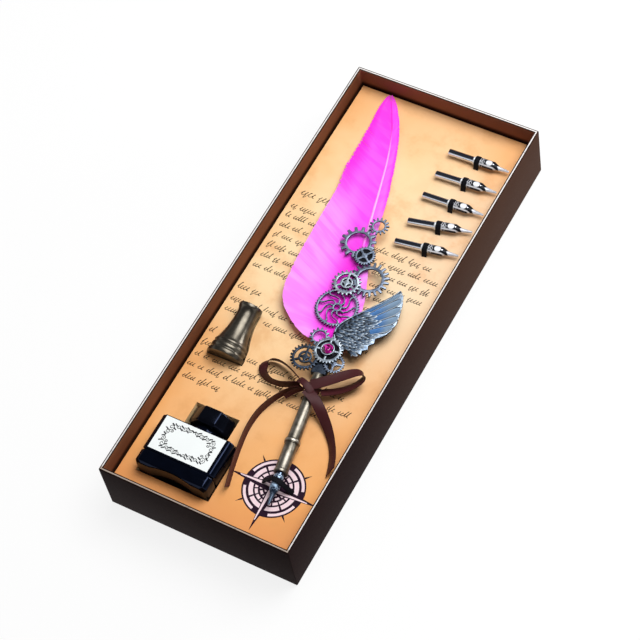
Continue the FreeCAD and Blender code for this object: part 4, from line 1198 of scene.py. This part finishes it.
leading = (
    (-0.035, -0.200), (-0.055, -0.120), (-0.045, -0.030), (0.000, 0.040), (0.070, 0.105), (0.173, 0.122),
    (0.306, 0.106), (0.450, 0.074), (0.604, 0.040), (0.748, 0.010), (0.882, -0.003), (0.99, -0.004),
)
rim_lift = 0.55
rim_radius = 0.62 * mm
rim_run = []
for number, (x, y) in enumerate(leading):
    narrowed = 1.25 - 0.85 * number / len(leading)
    rim_run.append((on_wing(x, y, rim_lift), narrowed))
rim = as_mesh(nurbs_lines("wing_rim", [rim_run], resolution=4, bevel=rim_radius, facets=3))
smoothed(rim, 60)
coated(rim, wing_silver)
wing = coated(softened("wing_charm", 0.2), wing_silver)
finished(joined([wing, *wing_parts, rim]), "wing_casting", None, "pen", "wing_silver", "wing_charm")

# Ribbon: a strip of dark chocolate satin, tied round the barrel in a bow. It has two loops, a knot drawn
# tight between them, and two free tails cut at a slant.
satin = material("satin_ribbon")
ribbon_map, ribbon_u = satin.strip()[:2]
ribbon_width = 6.0
warp = satin.noise(1.0, 2, ribbon_map.stretched((120, 3, 1)))
weave = satin.noise(1.0, 2, ribbon_map.stretched((60, 900, 1)))
selvedge = abs(ribbon_u - 0.5).span(0.42, 0.47)
satin.dress(
    Base_Color=(weave * 0.5 + selvedge * 0.3).mix("#4a2023", "#2e1012"),
    Roughness=0.36 + warp * 0.16,
    Specular_IOR_Level=0.16,
    Sheen_Weight=0.1,
    Sheen_Roughness=0.35,
    Sheen_Tint="#a5606a",
    Normal=(warp * 0.4 + weave * 0.6).bump(0.05),
)


def course(route):
    """Points read from the NURBS line of a route: x and y from the pen's mouth, height over the card."""
    run = [((mouth.x + x * mm, mouth.y + y * mm, card_top + height * mm), 1) for x, y, height in route]
    holder = nurbs_lines("course", [run], resolution=7)
    shape = bpy.data.meshes.new_from_object(holder)
    points = [vertex.co.copy() for vertex in shape.vertices]
    bpy.data.objects.remove(holder)
    bpy.data.meshes.remove(shape)
    return points


def ribbon(points, ways, width=ribbon_width, slant=0.0):
    """A satin strip along a course, its width turning from one way to another, a little crowned."""
    columns = 6
    last = len(points) - 1
    piece = grid(columns, last)
    frames = []
    for number, point in enumerate(points):
        heading = (points[min(number + 1, last)] - points[max(number - 1, 0)]).normalized()
        share = number / last * (len(ways) - 1)
        low = min(int(share), len(ways) - 2)
        way = Vector(ways[low]).lerp(Vector(ways[low + 1]), share - low)
        face = heading.cross(way).normalized()
        frames.append((point, heading, face.cross(heading), face))
    for vertex in piece.data.vertices:
        across = vertex.co.x * 2
        point, heading, sideways, face = frames[round((vertex.co.y + 0.5) * last)]
        share = vertex.co.y + 0.5
        spot = point + sideways * (across * width / 2 * mm) + face * ((1 - across * across) * 0.25 * mm)
        vertex.co = spot + heading * (across * slant * mm * max(0, share - 0.9) * 10)
    modified(piece, "SOLIDIFY", thickness=0.28 * mm, offset=0)
    smoothed(piece, 50)
    return piece


left_tail_route = (
    (-14.6, 48.6, 7.3), (-20.3, 46.0, 5.0), (-24.5, 40.6, 3.7), (-27.6, 34.4, 3.3), (-29.7, 27.0, 3.3),
    (-30.0, 17.0, 3.3), (-28.6, 7.6, 3.3), (-26.8, -1.2, 3.3), (-24.6, -10.2, 3.3), (-22.2, -18.4, 3.3),
)
left_tail_ways = ((0.10, -0.10, 0.95), (-0.08, 0.0, 1.0), (-0.12, 0.02, 0.99), (-0.15, 0.05, 0.98))
right_tail_route = (
    (-10.6, 47.8, 9.2), (-5.0, 45.8, 8.7), (0.0, 42.6, 6.4), (5.0, 38.6, 4.0), (10.4, 33.6, 3.3),
    (15.4, 27.8, 3.2), (19.2, 21.8, 3.2), (21.4, 16.6, 3.2), (22.8, 12.0, 3.2),
)
right_tail_ways = ((0.25, 0.85, -0.25), (0.55, 0.30, 0.20), (0.71, -0.10, 0.60), (0.71, -0.13, 0.69))
left_loop_route = (
    (-14.4, 51.1, 8.0), (-23.2, 56.4, 6.3), (-32.1, 59.7, 4.6), (-38.2, 59.6, 3.6), (-41.5, 55.9, 3.3),
    (-39.8, 50.8, 3.3), (-34.4, 47.4, 3.4), (-27.6, 47.1, 3.8), (-21.6, 48.8, 5.2), (-15.4, 50.1, 7.4),
)
left_loop_ways = (
    (0.34, -0.41, 0.84), (0.45, -0.20, 0.80), (0.72, 0.42, 0.40), (0.10, 0.05, 0.95), (0.0, 0.0, 1.0),
)
right_loop_route = (
    (-9.6, 51.4, 9.3), (-4.1, 55.4, 9.9), (2.1, 61.4, 10.1), (6.9, 66.6, 9.6), (10.2, 69.8, 8.4),
    (12.6, 70.4, 6.6), (13.0, 68.4, 4.9), (10.6, 63.8, 3.9), (6.2, 58.8, 3.6), (1.2, 54.2, 4.6),
    (-3.6, 50.6, 6.4),
)
right_loop_ways = (
    (0.70, -0.66, -0.12), (0.68, -0.62, 0.10), (0.55, -0.57, 0.55), (0.58, -0.58, 0.50), (0.65, -0.60, 0.35),
)
left_loop = ribbon(course(left_loop_route), left_loop_ways)
finished(left_loop, "bow_left_loop", satin, "pen", "satin_ribbon", "ribbon_left_loop")
right_loop = ribbon(course(right_loop_route), right_loop_ways)
finished(right_loop, "bow_right_loop", satin, "pen", "satin_ribbon", "ribbon_right_loop")


def free_tail(name, node, route, ways, slant):
    """A ribbon tail that leaves the knot and lies loose on the card."""
    points = course(route)
    tail = finished(ribbon(points, ways, slant=slant), name, satin, "pen", "satin_ribbon", node)


free_tail("bow_left_tail", "ribbon_left_tail", left_tail_route, left_tail_ways, 2.0)
free_tail("bow_right_tail", "ribbon_right_tail", right_tail_route, right_tail_ways, -2.0)

band_route = (
    (-18.4, 52.3, 6.2), (-17.2, 52.0, 8.6), (-14.8, 51.2, 10.5), (-11.8, 50.2, 10.9), (-9.0, 48.9, 10.0),
    (-6.6, 47.4, 8.6), (-5.0, 46.2, 6.6),
)
band_ways = ((0.3, 0.9, 0.2), (0.44, 0.9, 0.0), (0.42, 0.88, -0.1), (0.4, 0.85, -0.2))
knot_band = ribbon(course(band_route), band_ways, width=3.8)
stub_route = ((-12.6, 48.6, 7.4), (-14.4, 47.4, 7.0), (-18.0, 45.0, 5.5), (-20.8, 41.4, 4.2))
stub_ways = ((0.0, 0.0, 1.0), (-0.3, 0.2, 0.9))
knot_stub = ribbon(course(stub_route), stub_ways, width=3.4)
knot_lump = softened("ribbon_knot", 0.15, smooth=60)
measured(knot_lump, pen_home, across=False)
knot = joined([knot_lump, knot_band, knot_stub])
finished(knot, "bow_knot", satin, "pen", "satin_ribbon", "ribbon_knot")
